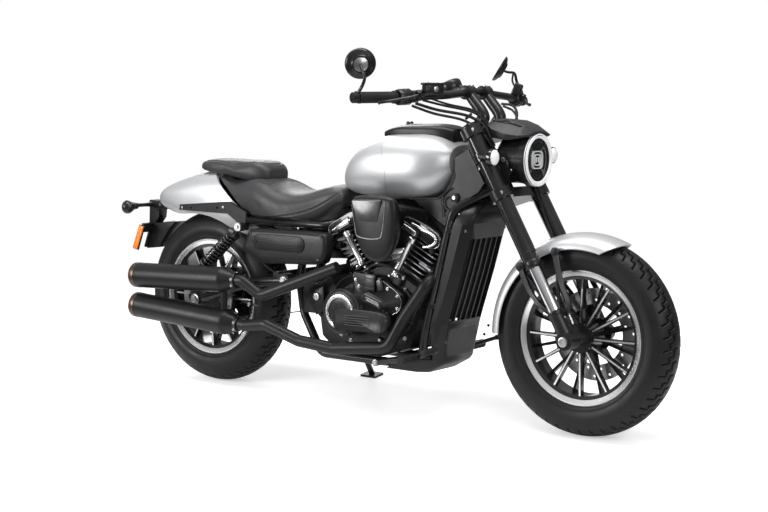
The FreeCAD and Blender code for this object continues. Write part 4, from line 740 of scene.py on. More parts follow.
def make_fork_trim():
    stay_foot, stay_foot_side = fork_point(8, 0, 66), 104

    def stay_width(share):
        return 23 - 7 * math.sin(min(1.0, share * 1.5) * math.pi / 2)

    bm = bmesh.new()
    for s in SIDES:
        for profile, count in LEG_PARTS:
            lathe(bm, profile, fork_leg(s), count)
        for up in (739, 513):
            bolt(bm, fork_point(20, s * 140, up), 6, 5, material=1, direction=FORK_TURN @ Vector((0.1, s, 0)))
        bolt(bm, fork_point(-20, s * FORK_SIDE, 10), 6, 6, material=1, direction=FORK_TURN @ Vector((-1, 0, 0)))
        bolt(bm, fork_point(23, s * FORK_SIDE, 70), 4, 4, material=1, direction=FORK_TURN @ Vector((1, 0, 0)))
        lathe(bm, [(15.6, -0.5), (15.6, 1.2), (13.5, 2.2), (10.4, 2.2), (9.8, 0.6), (6.2, 0.6), (6.1, -4)],
              outward(FRONT_AXLE.x, s * 153.3, FRONT_AXLE.z), 36, 1)
        for x, z in (STAYS[0][0], STAYS[1][0]):
            lathe(bm, [(11.4, -1), (11.4, 2), (10, 3.4), (6.2, 3.6), (5.2, 2.0), (0, 2.0)],
                  outward(x, s * 91.2, z), 28)
    lathe(bm, [(24, 755), (24, 760), (21, 766), (16, 769), (0, 769.5)], FORK @ Matrix.Translation((-45, 0, 0)))
    for s in SIDES:
        for stay in STAYS:
            points = [(x, s * y, z) for (x, z), y in zip(stay, STAY_SIDES)]
            strap(bm, rounded(points + [(stay_foot.x, s * stay_foot_side, stay_foot.z)]), stay_width, 9)
            lathe(bm, [(14, -6), (15, -5), (15, 3.5), (13.5, 5), (7, 5.4)], outward(*points[0]), 32)
            bolt(bm, (stay[0][0], s * 96.6, stay[0][1]), 6, 3)
    emit("fork_trim", bm, "fork", ["satin_black", "steel"])

    bm = bmesh.new()
    for s in SIDES:
        lathe(bm, [(20.55, 108), (20.6, 109), (20.6, 249), (20.55, 250)], fork_leg(s), 48)
    emit("fork_slider_skin", bm, "fork", ["chrome"])


def rounded_rect(width, height, corner, count=5):
    points = []
    for cx, cy, start in ((1, 1, 0), (-1, 1, 90), (-1, -1, 180), (1, -1, 270)):
        for step in range(count + 1):
            turn = math.radians(start + 90 * step / count)
            points.append((cx * (width / 2 - corner) + corner * math.cos(turn),
                           cy * (height / 2 - corner) + corner * math.sin(turn)))
    return points


def frame_loop(bm, outline, inner_share, low, high, place, material=0):
    """A flat ring between an outline and its smaller copy."""
    inner = [(x * inner_share[0], y * inner_share[1]) for x, y in outline]
    rings = [[place @ Vector((x, y, level)) for x, y in edge]
             for edge, level in ((outline, low), (outline, high), (inner, high), (inner, low), (outline, low))]
    start = len(bm.verts)
    loops_to_mesh(bm, rings, cap=False, material=material)
    bm.verts.ensure_lookup_table()
    bmesh.ops.remove_doubles(bm, verts=bm.verts[start:], dist=0.001)


def make_headlight():
    face = ahead_frame(1374, 0, 875)
    bm = bmesh.new()
    lathe(bm, [(85.7, -9), (86.2, -3), (85, 1.6), (82, 3.4), (80.2, 3.2), (79.4, 1.0), (78.4, 1.0), (77.6, 2.8),
               (73, 2.6), (71, 0.8), (69.5, -1.0), (69, -5)], face, 96, cap=False)
    emit("headlight_ring", bm, "fork", ["white_ring"])

    bm = bmesh.new()
    lathe(bm, [(69.2, -1.5), (66, -2.4), (64.4, -5), (63, -9), (0, -9.5)], face, 72, cap=False)
    lathe(bm, [(62, -9), (61.4, -7.2), (60.4, -7.2), (59.8, -9)], face, 72, 1, cap=False)
    frame_loop(bm, rounded_rect(66, 58, 17), (0.89, 0.88), -9, -3.4, face, 2)
    frame_loop(bm, rounded_rect(42, 37, 10), (0.84, 0.82), -9, -3.0, face, 2)
    for x in (7, -7):
        block(bm, (6, 17, 4), face @ Matrix.Translation((x, 0, -6)), 1.5, 2, 2)
    for turn in range(4):
        fin = face @ Matrix.Rotation(math.radians(45 + 90 * turn), 4, "Z") @ Matrix.Translation((48, 0, -7.4))
        block(bm, (17, 7, 3), fin, 1.4, 2, 1)
    emit("headlight_elements", bm, "fork", ["lamp_dark", "reflector", "white_ring"],
         ["headlight_lens"])

    glass_radius, glass_rise, glass_steps = 69.4, 3.4, 8
    shares = [1 - step / glass_steps for step in range(glass_steps + 1)]
    bm = bmesh.new()
    lathe(bm, [(glass_radius * share, -1.2 + glass_rise * (1 - share ** 2)) for share in shares], face, 72)
    emit("headlight_glass", bm, "fork", ["thin_glass"])

    bm = bmesh.new()
    lathe(bm, [(70, -78), (77.2, -80), (77.2, -104), (74, -114), (66, -121), (50, -124), (0, -125)], face, 72)
    for along, radius in ((-12, 86.4), (-28, 86.2), (-60, 77.5), (-88, 77.3)):
        lathe(bm, [(radius - 1.2, along - 2.2), (radius, along - 1.6), (radius, along + 1.6),
                   (radius - 1.2, along + 2.2)], face, 72)
    for s in SIDES:
        for x, y, z, size in ((1292, 85, 875, 8), (1318, 76.6, 842, 4), (1262, 76.6, 905, 4)):
            bolt(bm, (x, s * y, z), size, 4, material=1)
    emit("headlight_bucket_trim", bm, "fork", ["satin_black", "steel"])


# The cowl's sections: x, half width on top, at its edge and below, then the heights of below, edge and top.
COWL = ((1214, 40, 64, 60, 968, 990, 997), (1244, 50, 84, 80, 944, 972, 1005), (1300, 50, 92, 88, 938, 958, 1001),
        (1346, 44, 88, 82, 944, 953, 986), (1376, 30, 70, 62, 952, 957, 966))
# The groove around each flank's triangle as x, distance from the middle and height, drawn as a thin dark tube: a
# painted shade of the groove.
COWL_GROOVE = ((1234, 57, 999), (1290, 62, 996), (1338, 54, 982), (1342, 50, 981), (1290, 54, 999),
               (1236, 51, 1002))


def make_cowl():
    """The cowl over the lamp: flat facets to a low beak, and on each flank a thin gloss black line around a long
    triangle, a painted shade of its sunk groove.
    """
    bm = bmesh.new()
    rings = []
    for x, top_half, edge_half, low_half, low, edge, top in COWL:
        outline = [(0, top + 2), (top_half, top), (edge_half, edge), (low_half, low), (0, low)]
        mirrored = [(-y, z) for y, z in outline[-2:0:-1]]
        rings.append([Vector((x, y, z)) for y, z in outline + mirrored])
    loops_to_mesh(bm, rings)
    bmesh.ops.recalc_face_normals(bm, faces=bm.faces)
    bmesh.ops.bevel(bm, geom=[e for e in bm.edges if e.calc_face_angle(0) > 0.30], offset=2.2, segments=2,
                    affect="EDGES", profile=0.6)
    for s in SIDES:
        # Painted groove shade: a thin gloss black tube along each flank's triangle.
        sweep(bm, [(x, s * y, z) for x, y, z in COWL_GROOVE], 1.5, 8, 1, closed=True)
    emit("lamp_cowl", bm, "fork", ["plastic_grey", "gloss_black"], ["nacelle"], angle=22)


def make_front_indicators():
    bm = bmesh.new()
    for s in SIDES:
        place = ahead_frame(1320, s * 184, 885) @ Matrix.Scale(1.18, 4)
        lathe(bm, [(22.6, -14), (23.4, -12), (23.4, 0), (22.4, 1.4), (20.8, 1.4), (20.8, -2)], place, 48)
        lathe(bm, [(20.9, 0.2), (20, 3), (16, 6.2), (10, 8.4), (0, 9.2)], place, 48, 1)
        lathe(bm, [(9.6, -26), (10.4, -24), (10.4, -20), (9.4, -18)],
              Matrix.Translation((0, s * -8, 0)) @ place, 24)
    emit("front_indicator_lens", bm, "fork", ["gloss_black", "white_lens"])


# Each cable's radius and its way from a hand control to behind the lamp, four on the right and two on the left.
CABLES = (
    (5.0, [(1070, -262, 1052), (1120, -214, 1032), (1180, -128, 1014), (1222, -96, 984), (1240, -84, 946),
           (1246, -66, 918)]),
    (4.4, [(1066, -276, 1044), (1116, -224, 1020), (1172, -142, 1000), (1214, -104, 968), (1234, -88, 936),
           (1242, -66, 910)]),
    (4.0, [(1082, -240, 1062), (1126, -186, 1046), (1184, -104, 1026), (1214, -78, 996), (1228, -62, 958)]),
    (3.4, [(1092, -214, 1068), (1120, -150, 1050), (1170, -88, 1034), (1204, -62, 1010), (1218, -50, 966)]),
    (4.6, [(1076, 250, 1054), (1150, 200, 1048), (1216, 120, 1020), (1226, 84, 980), (1232, 62, 944)]),
    (4.0, [(1070, 270, 1046), (1136, 226, 1030), (1204, 140, 1000), (1216, 92, 962), (1230, 66, 930)]),
)
# The brake line drops behind the lamp and the lower clamp to the left leg: ahead, side and up in the fork's frame.
BRAKE_LINE = ((20, 52, 640), (22, 60, 560), (20, 66, 480), (6, 74, 400), (-8, 80, 320), (-24, 78, 250),
              (-44, 68, 180))


def make_cables():
    bm = bmesh.new()
    for radius, route in CABLES:
        sweep(bm, rounded(route, 8), radius)
    for clip in ((1180, -120, 1012), (1216, -94, 975)):
        lathe(bm, [(13, -4), (14, -3), (14, 3), (13, 4)], axis_matrix(clip, (0.5, 0.4, -0.7)), 20)
    sweep(bm, rounded([fork_point(*point) for point in BRAKE_LINE], 8), 3.8)
    emit("control_cables", bm, "fork", ["rubber"])


def make_risers():
    def thickness(share):
        return 17.4 + 2.2 * math.sin(share * math.pi)

    bm = bmesh.new()
    for s in SIDES:
        foot, knee, head = fork_point(-4, s * 50, 764), Vector((1200, s * 50, 1011)), Vector((1131, s * 50, 1089))
        sweep(bm, rounded([foot, foot.lerp(knee, 0.6), knee + Vector((-6, 0, -1)), knee.lerp(head, 0.25),
                           knee.lerp(head, 0.7), head], 5), thickness, 20)
        lathe(bm, [(20, -21), (23.4, -19.5), (23.4, 19.5), (20, 21)], axis_matrix(head, (0, 1, 0)), 36)
        for off in (-13, 13):
            bolt(bm, head + Vector((8, off, 22)), 4.5, 4, material=1, direction=(0.3, 0, 1))
    emit("bar_risers", bm, "fork", ["satin_black", "steel"])


def grip_line(side):
    """A grip's inner and outer end, and the direction from one to the other."""
    inner, outer = Vector((1068, side * 365, 1070)), Vector((1013, side * 490, 1067))
    return inner, outer, (outer - inner).normalized()


def make_grips():
    rib_from, rib_pitch, end_clear = 12.0, 5.2, 12
    bm = bmesh.new()
    for s in SIDES:
        inner, outer, along = grip_line(s)
        length = (outer - inner).length
        profile = [(17.2, 6.5), (20.5, 7), (20.5, 11), (17.6, 12)]
        step = rib_from
        while step < length - end_clear:
            profile += [(17.6, step), (18.0, step + 0.6), (18.0, step + 3.0), (17.3, step + 3.5),
                        (17.3, step + 4.6)]
            step += rib_pitch
        profile += [(18.2, length - 9), (19.0, length - 8), (19.0, length - 1.2), (17.6, length - 0.4)]
        lathe(bm, profile, axis_matrix(inner, along))
    emit("grip_rubber_sleeves", bm, "fork", ["rubber"], ["grips"], angle=28)


def make_hand_controls():
    def lever_radius(share):
        return 7.2 - 2.4 * min(1, share * 2.2) + (1.6 if share > 0.96 else 0)

    bm = bmesh.new()
    for s in SIDES:
        inner, _, along = grip_line(s)
        toward = (Vector((1135, s * 190, 1078)) - inner).normalized()
        house = axis_matrix(inner, toward)
        lathe(bm, [(19, 3), (24, 4), (26, 8), (26, 25), (25.2, 26), (25.2, 28), (26, 29), (26, 46), (23, 51),
                   (15, 52)], house)
        for offset, size in ((16, 3.2), (38, 4.0)):
            bolt(bm, inner + toward * offset + Vector((-25, 0, 4)), size, 4, "dome", 2, (-1, 0, 0.1))
        block(bm, (9, 13, 6), Matrix.Translation(inner + toward * 27 + Vector((-24, 0, 12))), 1.6, 2, 2)
        root = inner + toward * 58 + Vector((34, 0, 4))
        lever = [root, inner + toward * 36 + Vector((40, 0, 2)), inner + along * 20 + Vector((34, 0, -6)),
                 inner + along * 66 + Vector((31, 0, -13)), (1066, s * 452, 1052)]
        sweep(bm, rounded(lever), lever_radius, 14, 1)
        block(bm, (26, 30, 15), axis_matrix(root + Vector((-6, 0, 0)), toward), 4, 3)
        bolt(bm, root + Vector((0, 0, 8)), 5, 3, "hex", 2, (0, 0, 1))
        lathe(bm, [(18, 50), (19.6, 51), (19.6, 77), (18, 78)], house, 32)
        if s < 0:
            # The brake fluid's box with its lid, window and screws.
            pot = Vector((1149, -280, 1097))
            turned = placed(*pot, -0.45, "Z")
            block(bm, (42, 62, 34), turned, 8, 4)
            block(bm, (46, 66, 7), turned @ Matrix.Translation((0, 0, 16)), 2.5, 3)
            lathe(bm, [(8, 19), (9, 21.6), (8.4, 23), (5, 24), (0, 24.2)],
                  turned @ Matrix.Rotation(math.radians(90), 4, "Y"), 24, 2)
            for x, y in ((16, 26), (-16, 26), (16, -26), (-16, -26)):
                bolt(bm, turned @ Vector((x, y, 19.5)), 2.6, 1.6, material=2, direction=(0, 0, 1))
        else:
            pot = inner + toward * 84 + Vector((16, 0, 30))
            block(bm, (30, 44, 26), axis_matrix(pot, toward), 6, 3)
        sweep(bm, [inner + toward * 68 + Vector((0, 0, 6)), pot + Vector((0, 0, -6))], 12, 16)
    emit("hand_levers", bm, "fork", ["satin_black", "dark_steel", "steel"], ["hand_controls"])


def make_mirrors():
    bm = bmesh.new()
    for s in SIDES:
        _, outer, along = grip_line(s)
        lathe(bm, [(14, 0.6), (17, 1.2), (17.4, 3), (17.4, 19), (15, 21.6), (8, 22.6), (0, 22.8)],
              axis_matrix(outer, along), 36)
        if s < 0:
            head, facing = Vector((992, -450, 1171)), Vector((-0.66, 0.72, 0.2)).normalized()
            elbow = outer + along * 12 + Vector((6, 6, 12))
            stem = [elbow, (1012, -470, 1100), (1026, -474, 1128), head - facing * 24 + Vector((0, 0, -8)),
                    head - facing * 6]
        else:
            head, facing = Vector((950, 448, 1176)), Vector((-0.726, -0.470, 0.502)).normalized()
            elbow = outer + along * 10 + Vector((0, 0, 12))
            stem = [elbow, (1000, 500, 1106), (982, 500, 1134), (980, 486, 1164), (968, 462, 1168),
                    head - facing * 6]
            second = [elbow + Vector((-8, 0, 0)), (984, 498, 1104), (966, 496, 1136), (974, 486, 1162)]
            sweep(bm, rounded(second, 7), 3.6, 10)
        sweep(bm, rounded(stem, 7), lambda share: 5.6 - 1.2 * share, 14)
        lathe(bm, [(9, -9), (10.4, -6), (10.4, 5), (8, 8)], axis_matrix(elbow, (0, 0, 1)), 24)
        shell = axis_matrix(head, facing)
        lathe(bm, [(9, -10), (12, -8.5), (23, -7.5), (25, -8.6), (27, -8.4), (31, -4), (41, 0), (47, 4), (49, 8.5),
                   (49, 12), (47.6, 13), (46.2, 13), (45.6, 11.4)], shell, 72)
        lathe(bm, [(0, -10.6), (20, -10), (22.6, -8.6), (22.8, -7.4)], shell, 48, 2)
        lathe(bm, [(45.8, 11.2), (44.6, 11.8), (24, 11.7), (0, 11.6)], shell, 72, 1)
    emit("mirror_bodies", bm, "fork", ["satin_black", "mirror", "steel"], ["mirrors"])


def make_gauge():
    ticks, gap_from, gap_to, tick_outer = 41, 15, 26, 29
    bm = bmesh.new()
    pod = axis_matrix((1026, 0, 1121), (0.45, 0, -1)) @ Matrix.Scale(0.86, 4)
    lathe(bm, [(31, -4.5), (36, -4), (39.5, -1), (41.5, 6), (42, 24), (38, 33), (26, 38), (0, 38)], pod, 64,
          cap=False)
    lathe(bm, [(0, -2.2), (31.4, -2.4), (32, -4.4)], pod, 64, 1, cap=False)
    block(bm, (26, 44, 12), placed(1078, 0, 1098, 0.3), 4, 3)
    sweep(bm, [(1062, 0, 1108), (1116, 0, 1092)], 9, 16)
    for index, turn in enumerate(circle(ticks)):
        if gap_from < index < gap_to:
            continue
        tick_inner = 24 if index % 5 == 0 else 26.5
        middle = (tick_outer + tick_inner) / 2
        mark = pod @ placed(math.cos(turn) * middle, math.sin(turn) * middle, -2.7, turn, "Z")
        block(bm, (tick_outer - tick_inner, 0.9, 0.5), mark, 0, 1, 2)
    emit("gauge_pod", bm, "fork", ["satin_black", "screen", "marks"], ["instrument"])


# Body

# The hood over the rear wheel: x, half width, underside and top of its oval section, lower edge of its side.
HOOD = smooth_rows([(-276, 42, 664, 692, 668), (-268, 54, 656, 702, 667), (-250, 73, 648, 715, 664),
                    (-213, 92, 634, 736, 647), (-134, 106, 606, 763, 630), (-47, 113, 578, 787, 635),
                    (30, 117.4, 560, 797, 632), (100, 117.4, 554, 796, 612), (150, 117.4, 550, 794, 588),
                    (230, 116.6, 550, 788, 560), (300, 116, 550, 784, 540)])
HOOD_TAIL, HOOD_SQUARENESS = -276, 1.4
# The slanted joint with the seat: one point of it as (x, z), and its run ahead for each step down.
HOOD_JOINT, HOOD_JOINT_SLANT = (48, 780), 157 / 125

# The front fender is a bent strip with a rounded front tip.
FENDER_RADIUS, FENDER_HALF, FENDER_DROP, FENDER_END = 333.0, 78.0, 48.0, math.radians(182)
TIP_START, TIP_END = 1640, 1701
FENDER_FRONT = math.acos((TIP_END - FRONT_AXLE.x) / FENDER_RADIUS)


def hood_point(along, around, inset):
    """A point of the hood. Along runs 0 to 1 from the tail to the slanted seat joint."""
    x = HOOD_TAIL + along * 400
    for _ in range(12):
        half, low, high, edge = between(HOOD, x)
        half, high = half - inset, high - inset * 1.2
        middle, rise = (low + high) / 2, (high - low) / 2
        share = min(1.0, max(-1.0, (edge - middle) / rise))
        first = math.asin(math.copysign(abs(share) ** HOOD_SQUARENESS, share))
        turn = first + (math.pi - 2 * first) * around
        up, out = (math.copysign(abs(part) ** (1 / HOOD_SQUARENESS), part)
                   for part in (math.sin(turn), math.cos(turn)))
        z = middle + rise * up
        y = -half * out
        joint = HOOD_JOINT[0] + (HOOD_JOINT[1] - z) * HOOD_JOINT_SLANT
        aim = (HOOD_TAIL + inset) * (1 - along) + joint * along
        x = x * 0.4 + aim * 0.6
    return Vector((x, y, z))


def fender_point(along, around, inset):
    """A point of the front fender. Along runs 0 to 1 from the tip over the wheel to the rear edge."""
    turn = FENDER_FRONT + (FENDER_END - FENDER_FRONT) * along ** 1.25
    share = 1.0
    for _ in range(30):
        drop = FENDER_DROP * (1 - math.cos(share * math.pi / 2))
        x = FRONT_AXLE.x + (FENDER_RADIUS - drop) * math.cos(turn)
        past = max(0.0, x - TIP_START) / (TIP_END - TIP_START)
        limit = FENDER_HALF * math.sqrt(max(0.0004, 1 - min(1.0, past) ** 2))
        if FENDER_HALF * math.sin(share * math.pi / 2) > limit:
            share = share * 0.5 + 0.5 * math.asin(min(1.0, limit / FENDER_HALF)) / (math.pi / 2)
    side = (2 * around - 1) * share * math.pi / 2
    rise = FENDER_RADIUS - inset - FENDER_DROP * (1 - math.cos(side))
    return FRONT_AXLE + Vector((rise * math.cos(turn), (FENDER_HALF - inset) * math.sin(side),
                                rise * math.sin(turn)))


def shell_rings(point, along_steps, around_steps, wall):
    """The closed sections of a sheet of even thickness."""
    shares = [step / around_steps for step in range(around_steps + 1)]
    return [[point(row / along_steps, share, 0) for share in shares]
            + [point(row / along_steps, share, wall) for share in shares[::-1]]
            for row in range(along_steps + 1)]


def make_fenders():
    hood_steps = 48
    bm = bmesh.new()
    loops_to_mesh(bm, shell_rings(hood_point, 56, hood_steps, 4))
    # The tail's end wall.
    outer = [hood_point(0, step / hood_steps, 0) for step in range(hood_steps + 1)]
    loops_to_mesh(bm, [outer, [point + Vector((4, 0, 0)) for point in outer]])
    emit("rear_hood", bm, "chassis", ["silver"], ["rear_fender"], angle=40)

    bm = bmesh.new()
    loops_to_mesh(bm, shell_rings(fender_point, 96, 32, 3))
    emit("front_mudguard", bm, "fork", ["silver"], ["front_fender"], angle=40)


# The shroud's front edge: height, where the CAD surface has it and where it belongs.
SHROUD_FRONT = [(152, 1036, 1012), (186, 1106, 1070), (200, 1130, 1080), (317, 1123, 1097), (500, 1164, 1152),
                (664, 1198, 1196)]
# The shoulder on top of the shroud: height, rear and front x, half width.
SHROUD_CROWN = ((660, 1128, 1194.5, 117.5), (676, 1134, 1200, 116), (690, 1141, 1204, 110), (704, 1150, 1206, 99),
                (717, 1158, 1207, 82), (728, 1166, 1206, 60), (736, 1174, 1203, 34), (739, 1180, 1198, 12))


def shroud_moved(point):
    """A rounder front for the shroud, fading out toward its rear."""
    rim, fade, reach = 18.5, 60, 110
    before, after = between(SHROUD_FRONT, point.z)
    depth = before - point.x
    if depth < -2 or depth > reach:
        return point
    if depth <= rim:
        x, swell = after - depth * 1.9, 5.0 * (1 - depth / rim)
    else:
        keep = min(1.0, (depth - rim) / fade)
        x, swell = (after - 35) * (1 - keep) + point.x * keep - (depth - rim) * (1 - keep), 0
    y = point.y + math.copysign(swell, point.y) if abs(point.y) > 88 else point.y
    return Vector((x, y, point.z))


def core_moved(point):
    before, after = between(SHROUD_FRONT, point.z)
    return point + Vector((after - before, 0, 0))


def cradle_moved(point):
    """Sets the frame's two front tubes further out and back, where they show beside the shroud."""
    if 995 < point.x < 1170 and 200 < point.z < 730 and 52 < abs(point.y) < 103:
        share = min(1.0, (point.z - 200) / 380)
        return point + Vector((-6 - 18 * share, math.copysign(27, point.y), 0))
    return point


def make_front_skins():
    """The radiator's shroud with its rounded chin, its core, and the frame tube behind its edge."""
    reshaped("shroud_skin", "radiator_shroud", "plastic", shroud_moved, 25)
    bm = bmesh.new()
    rings = []
    for z, back_x, front_x, wide in SHROUD_CROWN:
        inner = wide - min(18, wide * 0.5)
        half = [(back_x, wide), (front_x - 22, wide), (front_x - 8, wide - 6), (front_x, inner)]
        rings.append([Vector((x, -y, z)) for x, y in half] + [Vector((x, y, z)) for x, y in half[::-1]])
    loops_to_mesh(bm, rings)
    emit("shroud_crown", bm, "chassis", ["plastic"], angle=40)
    reshaped("radiator_matrix", "radiator", "radiator", core_moved)
    reshaped("frame_tubes", "frame", "satin_black", cradle_moved)


def console_moved(point):
    """A crown along the console's top, highest around the cap."""
    if point.z < 950:
        return point
    rise = 8.5 * math.exp(-((point.x - 940) / 120) ** 4) * max(0.0, 1 - (point.y / 74) ** 2)
    return point + Vector((0, 0, rise))


def make_tank_trim():
    reshaped("console_skin", "tank_console", "plastic", console_moved)
    tank = mesh_tree(nodes["fuel_tank"].data)
    seam = ((838, 912), (845, 895), (857, 862), (868, 829), (866, 795), (857, 764), (850, 748))
    bm = bmesh.new()
    for s in SIDES:
        sweep(bm, dropped(tank, rounded(on_side(seam, s * 400)), (0, -s, 0)), 0.55, 8)
    emit("tank_seam", bm, "chassis", ["seam_grey"])

    rim, grips = 35.4, 24
    bm = bmesh.new()
    place = Matrix.Translation((905, 0, 982.3))
    lathe(bm, [(34.4, -8), (rim, -7), (rim, -1), (34, 0.2), (31, 0.5), (29.5, -0.4), (24, -0.6), (23, 0.5),
               (12, 0.9), (0, 1.0)], place, 72)
    for turn in circle(grips):
        block(bm, (1.8, 3.2, 5), place @ Matrix.Rotation(turn, 4, "Z") @ Matrix.Translation((rim, 0, -4)), 0.6, 1)
    block(bm, (4, 17, 1.0), place @ Matrix.Translation((0, 0, 1.1)), 0.4, 1, 1)
    emit("fuel_cap_trim", bm, "fuel_cap", ["satin_black", "steel"])


def make_rails():
    rail_face, axle_z = 134, REAR_AXLE.z
    bm = bmesh.new()
    for s in SIDES:
        for x, z in ((-76, 657), (128, 668)):
            lathe(bm, [(9.5, -0.5), (9.5, 0.4), (6.4, 0.4), (6.2, -2.6), (0, -2.6)],
                  outward(x, s * rail_face, z), 28)
            bolt(bm, (x, s * (rail_face - 2.6), z), 5, 3, material=1)
        lathe(bm, [(16.8, -1), (16.8, 3), (14, 5), (9, 5)], outward(234, s * 170, 604), 32, 1)
        bolt(bm, (234, s * 174, 604), 8, 6, "hex", 1)
        bolt(bm, (48, s * 170, 440), 8, 6, "hex", 1)
        lathe(bm, [(20, -0.4), (20, 3), (17, 5), (11, 5)], outward(0, s * 144, axle_z), 36, 1)
        bolt(bm, (0, s * 148, axle_z), 13, 9, "hex", 1)
        block(bm, (26, 12, 22), Matrix.Translation((-34, s * 126, axle_z + 2)), 3)
        bolt(bm, (-47, s * 126, axle_z + 2), 4, 10, "hex", 1, (-1, 0, 0))
        bolt(bm, (420, s * 138, 420), 13, 7, "hex", 1)
    emit("rail_bolts", bm, "chassis", ["satin_black", "steel"])


def coil(place, radius, laps, start, rise, steps):
    """A spring's line about a place's axis."""
    line = []
    for step in range(steps + 1):
        share = step / steps
        turn = 2 * math.pi * laps * share
        line.append(place @ Vector((radius * math.cos(turn), radius * math.sin(turn), start + rise * share)))
    return line


def make_shocks():
    bm = bmesh.new()
    for s in SIDES:
        top, low = Vector((234, s * 158, 604)), Vector((48, s * 158, 440))
        length = (top - low).length
        place = axis_matrix(low, (top - low).normalized())
        lathe(bm, [(9, 4), (9, 20), (25.5, 21), (26.4, 24), (26.4, 29), (24, 31), (13, 32)], place)
        lathe(bm, [(13, 30), (13, length - 40), (12, length - 38)], place, 32, 1)
        lathe(bm, [(12, length - 45), (25, length - 44), (26.4, length - 41), (26.4, length - 35),
                   (22, length - 31), (13, length - 26), (12, length - 6)], place)
        for at in (top, low):
            lathe(bm, [(9, -12.5), (15, -12.5), (16.4, -11), (16.4, 11), (15, 12.5), (9, 12.5)],
                  axis_matrix(at, (0, 1, 0)), 36)
        sweep(bm, coil(place, 20.5, 10.5, 34, length - 80, 300), 3.6, 12, 2)
    emit("twin_shocks", bm, "chassis", ["satin_black", "dark_steel", "gloss_black"],
         ["shock_absorbers"])


def make_tail():
    bm = bmesh.new()
    for s in SIDES:
        lathe(bm, [(11, 0), (10.4, 3), (8.4, 16), (7.6, 40), (7.8, 66), (9.5, 84), (12, 98)],
              outward(-343, s * 24, 651), 28)
        place = axis_matrix((-332, s * 140, 646), (-1, s * 0.3, 0))
        lathe(bm, [(0, -6), (12, -4), (20, 4), (25, 13), (26, 22), (25, 24)], place)
        lathe(bm, [(25.2, 23), (24.6, 28), (19, 35), (10, 39.5), (0, 40.5)], place, 40, 1)
        sweep(bm, [(-343, s * 108, 649), (-341, s * 136, 647)], 13, 20)
    emit("rear_indicator_bodies", bm, "chassis", ["satin_black", "dark_lens"], ["rear_indicators"])

    # Arm, knuckle, two struts and the sloping flap: outline, half width, bevel and its steps.
    plates = (
        ([(-180, 642), (-180, 664), (-262, 664), (-356, 668), (-366, 642), (-300, 634)], 24, 3, 3),
        ([(-360, 650), (-300, 650), (-306, 602), (-330, 574), (-362, 574)], 22, 5, 3),
        ([(-331, 582), (-324, 579), (-336, 545), (-343, 548)], 90, 1, 2),
        ([(-342, 549), (-335, 546), (-358, 484), (-365, 487)], 46, 1, 2),
        ([(-348, 577), (-206, 592), (-240, 561), (-268, 526), (-297, 487), (-362, 479), (-350, 520)], 34, 3, 2),
    )
    bm = bmesh.new()
    for outline, half, bevel, segments in plates:
        slab(bm, outline, -half, half, side_frame(-1), bevel, segments)
    block(bm, (34, 36, 60), Matrix.Translation((-204, 0, 690)), 4, 3)
    for s in SIDES:
        slab(bm, [(-346, 576), (-317, 570), (-352, 476), (-382, 481)], 85, 89.5, side_frame(s), 1.5)
        bolt(bm, (-300, s * 22, 652), 5, 3, material=1)
    for y in (-32, 32):
        bolt(bm, (-350, y, 550), 5, 3, "hex", 1, (-0.94, 0, 0.34))
    emit("tail_bracket", bm, "chassis", ["plastic", "steel"], ["plate_bracket"])

    bm = bmesh.new()
    for s in SIDES:
        slab(bm, [(-342, 573), (-318, 568), (-354, 480), (-378, 484)], 90.2, 96.5, side_frame(s), 2.2, 3)
    emit("reflector_lenses", bm, "chassis", ["amber"], ["side_reflectors"])

    bm = bmesh.new()
    block(bm, (9, 66, 19), Matrix.Translation((-279, 0, 681)), 3, 3)
    emit("tail_lens", bm, "chassis", ["red"], ["tail_light"])


def capsule_line(start, end, radius, count=14):
    """A flat ring around two points, round at both ends."""
    points = []
    for centre, first in ((end, -90), (start, 90)):
        for step in range(count + 1):
            turn = math.radians(first + 180 * step / count)
            points.append((centre[0] + radius * math.cos(turn), centre[1] + radius * math.sin(turn)))
    return points


# A side cover's outline, its middle, and its sections outward: distance from the bike's middle, then the shares
# of the outline's length and height.
COVER_OUTLINE = [(250, 526), (262, 560), (274, 592), (300, 601), (460, 604), (600, 604), (628, 596), (636, 562),
                 (630, 518), (600, 493), (460, 484), (336, 478), (290, 496)]
COVER_MIDDLE = (444, 545)
COVER_ROWS = ((130, 1, 1), (146, 1, 1), (153, 0.994, 0.975), (159, 0.985, 0.93), (163.5, 0.97, 0.86),
              (166, 0.95, 0.76), (167, 0.90, 0.60), (167.5, 0.7, 0.3), (167.6, 0.02, 0.02))
PAD_ENDS = ((336, 557), (512, 557))


def make_side_covers():
    outline = ring_curve(COVER_OUTLINE)
    middle_x, middle_z = COVER_MIDDLE
    cover = mesh_tree(nodes["side_covers"].data)
    bm = bmesh.new()
    for s in SIDES:
        rings = [[Vector((middle_x + (x - middle_x) * along, s * depth, middle_z + (z - middle_z) * up))
                  for x, z in outline] for depth, along, up in COVER_ROWS]
        loops_to_mesh(bm, rings, material=2)
        slab(bm, capsule_line(*PAD_ENDS, 29), 160, 173, side_frame(s), 4, 4, 2)
        slab(bm, capsule_line(*PAD_ENDS, 22), 172, 175.5, side_frame(s), 2, 3, 2)
        for radius, high in ((17, 175.5), (11, 176.2), (5, 175.8)):
            sweep(bm, on_side(capsule_line(*PAD_ENDS, radius), s * high), 1.2, 8, closed=True)
        for spot in dropped(cover, on_side(((292, 585), (610, 590), (600, 510)), s * 300), (0, -s, 0)):
            bolt(bm, spot, 5, 2.5, material=1)
    emit("side_cover_skins", bm, "chassis", ["plastic_grey", "dark_steel", "plastic"],
         ["side_covers"], angle=42)


# Engine

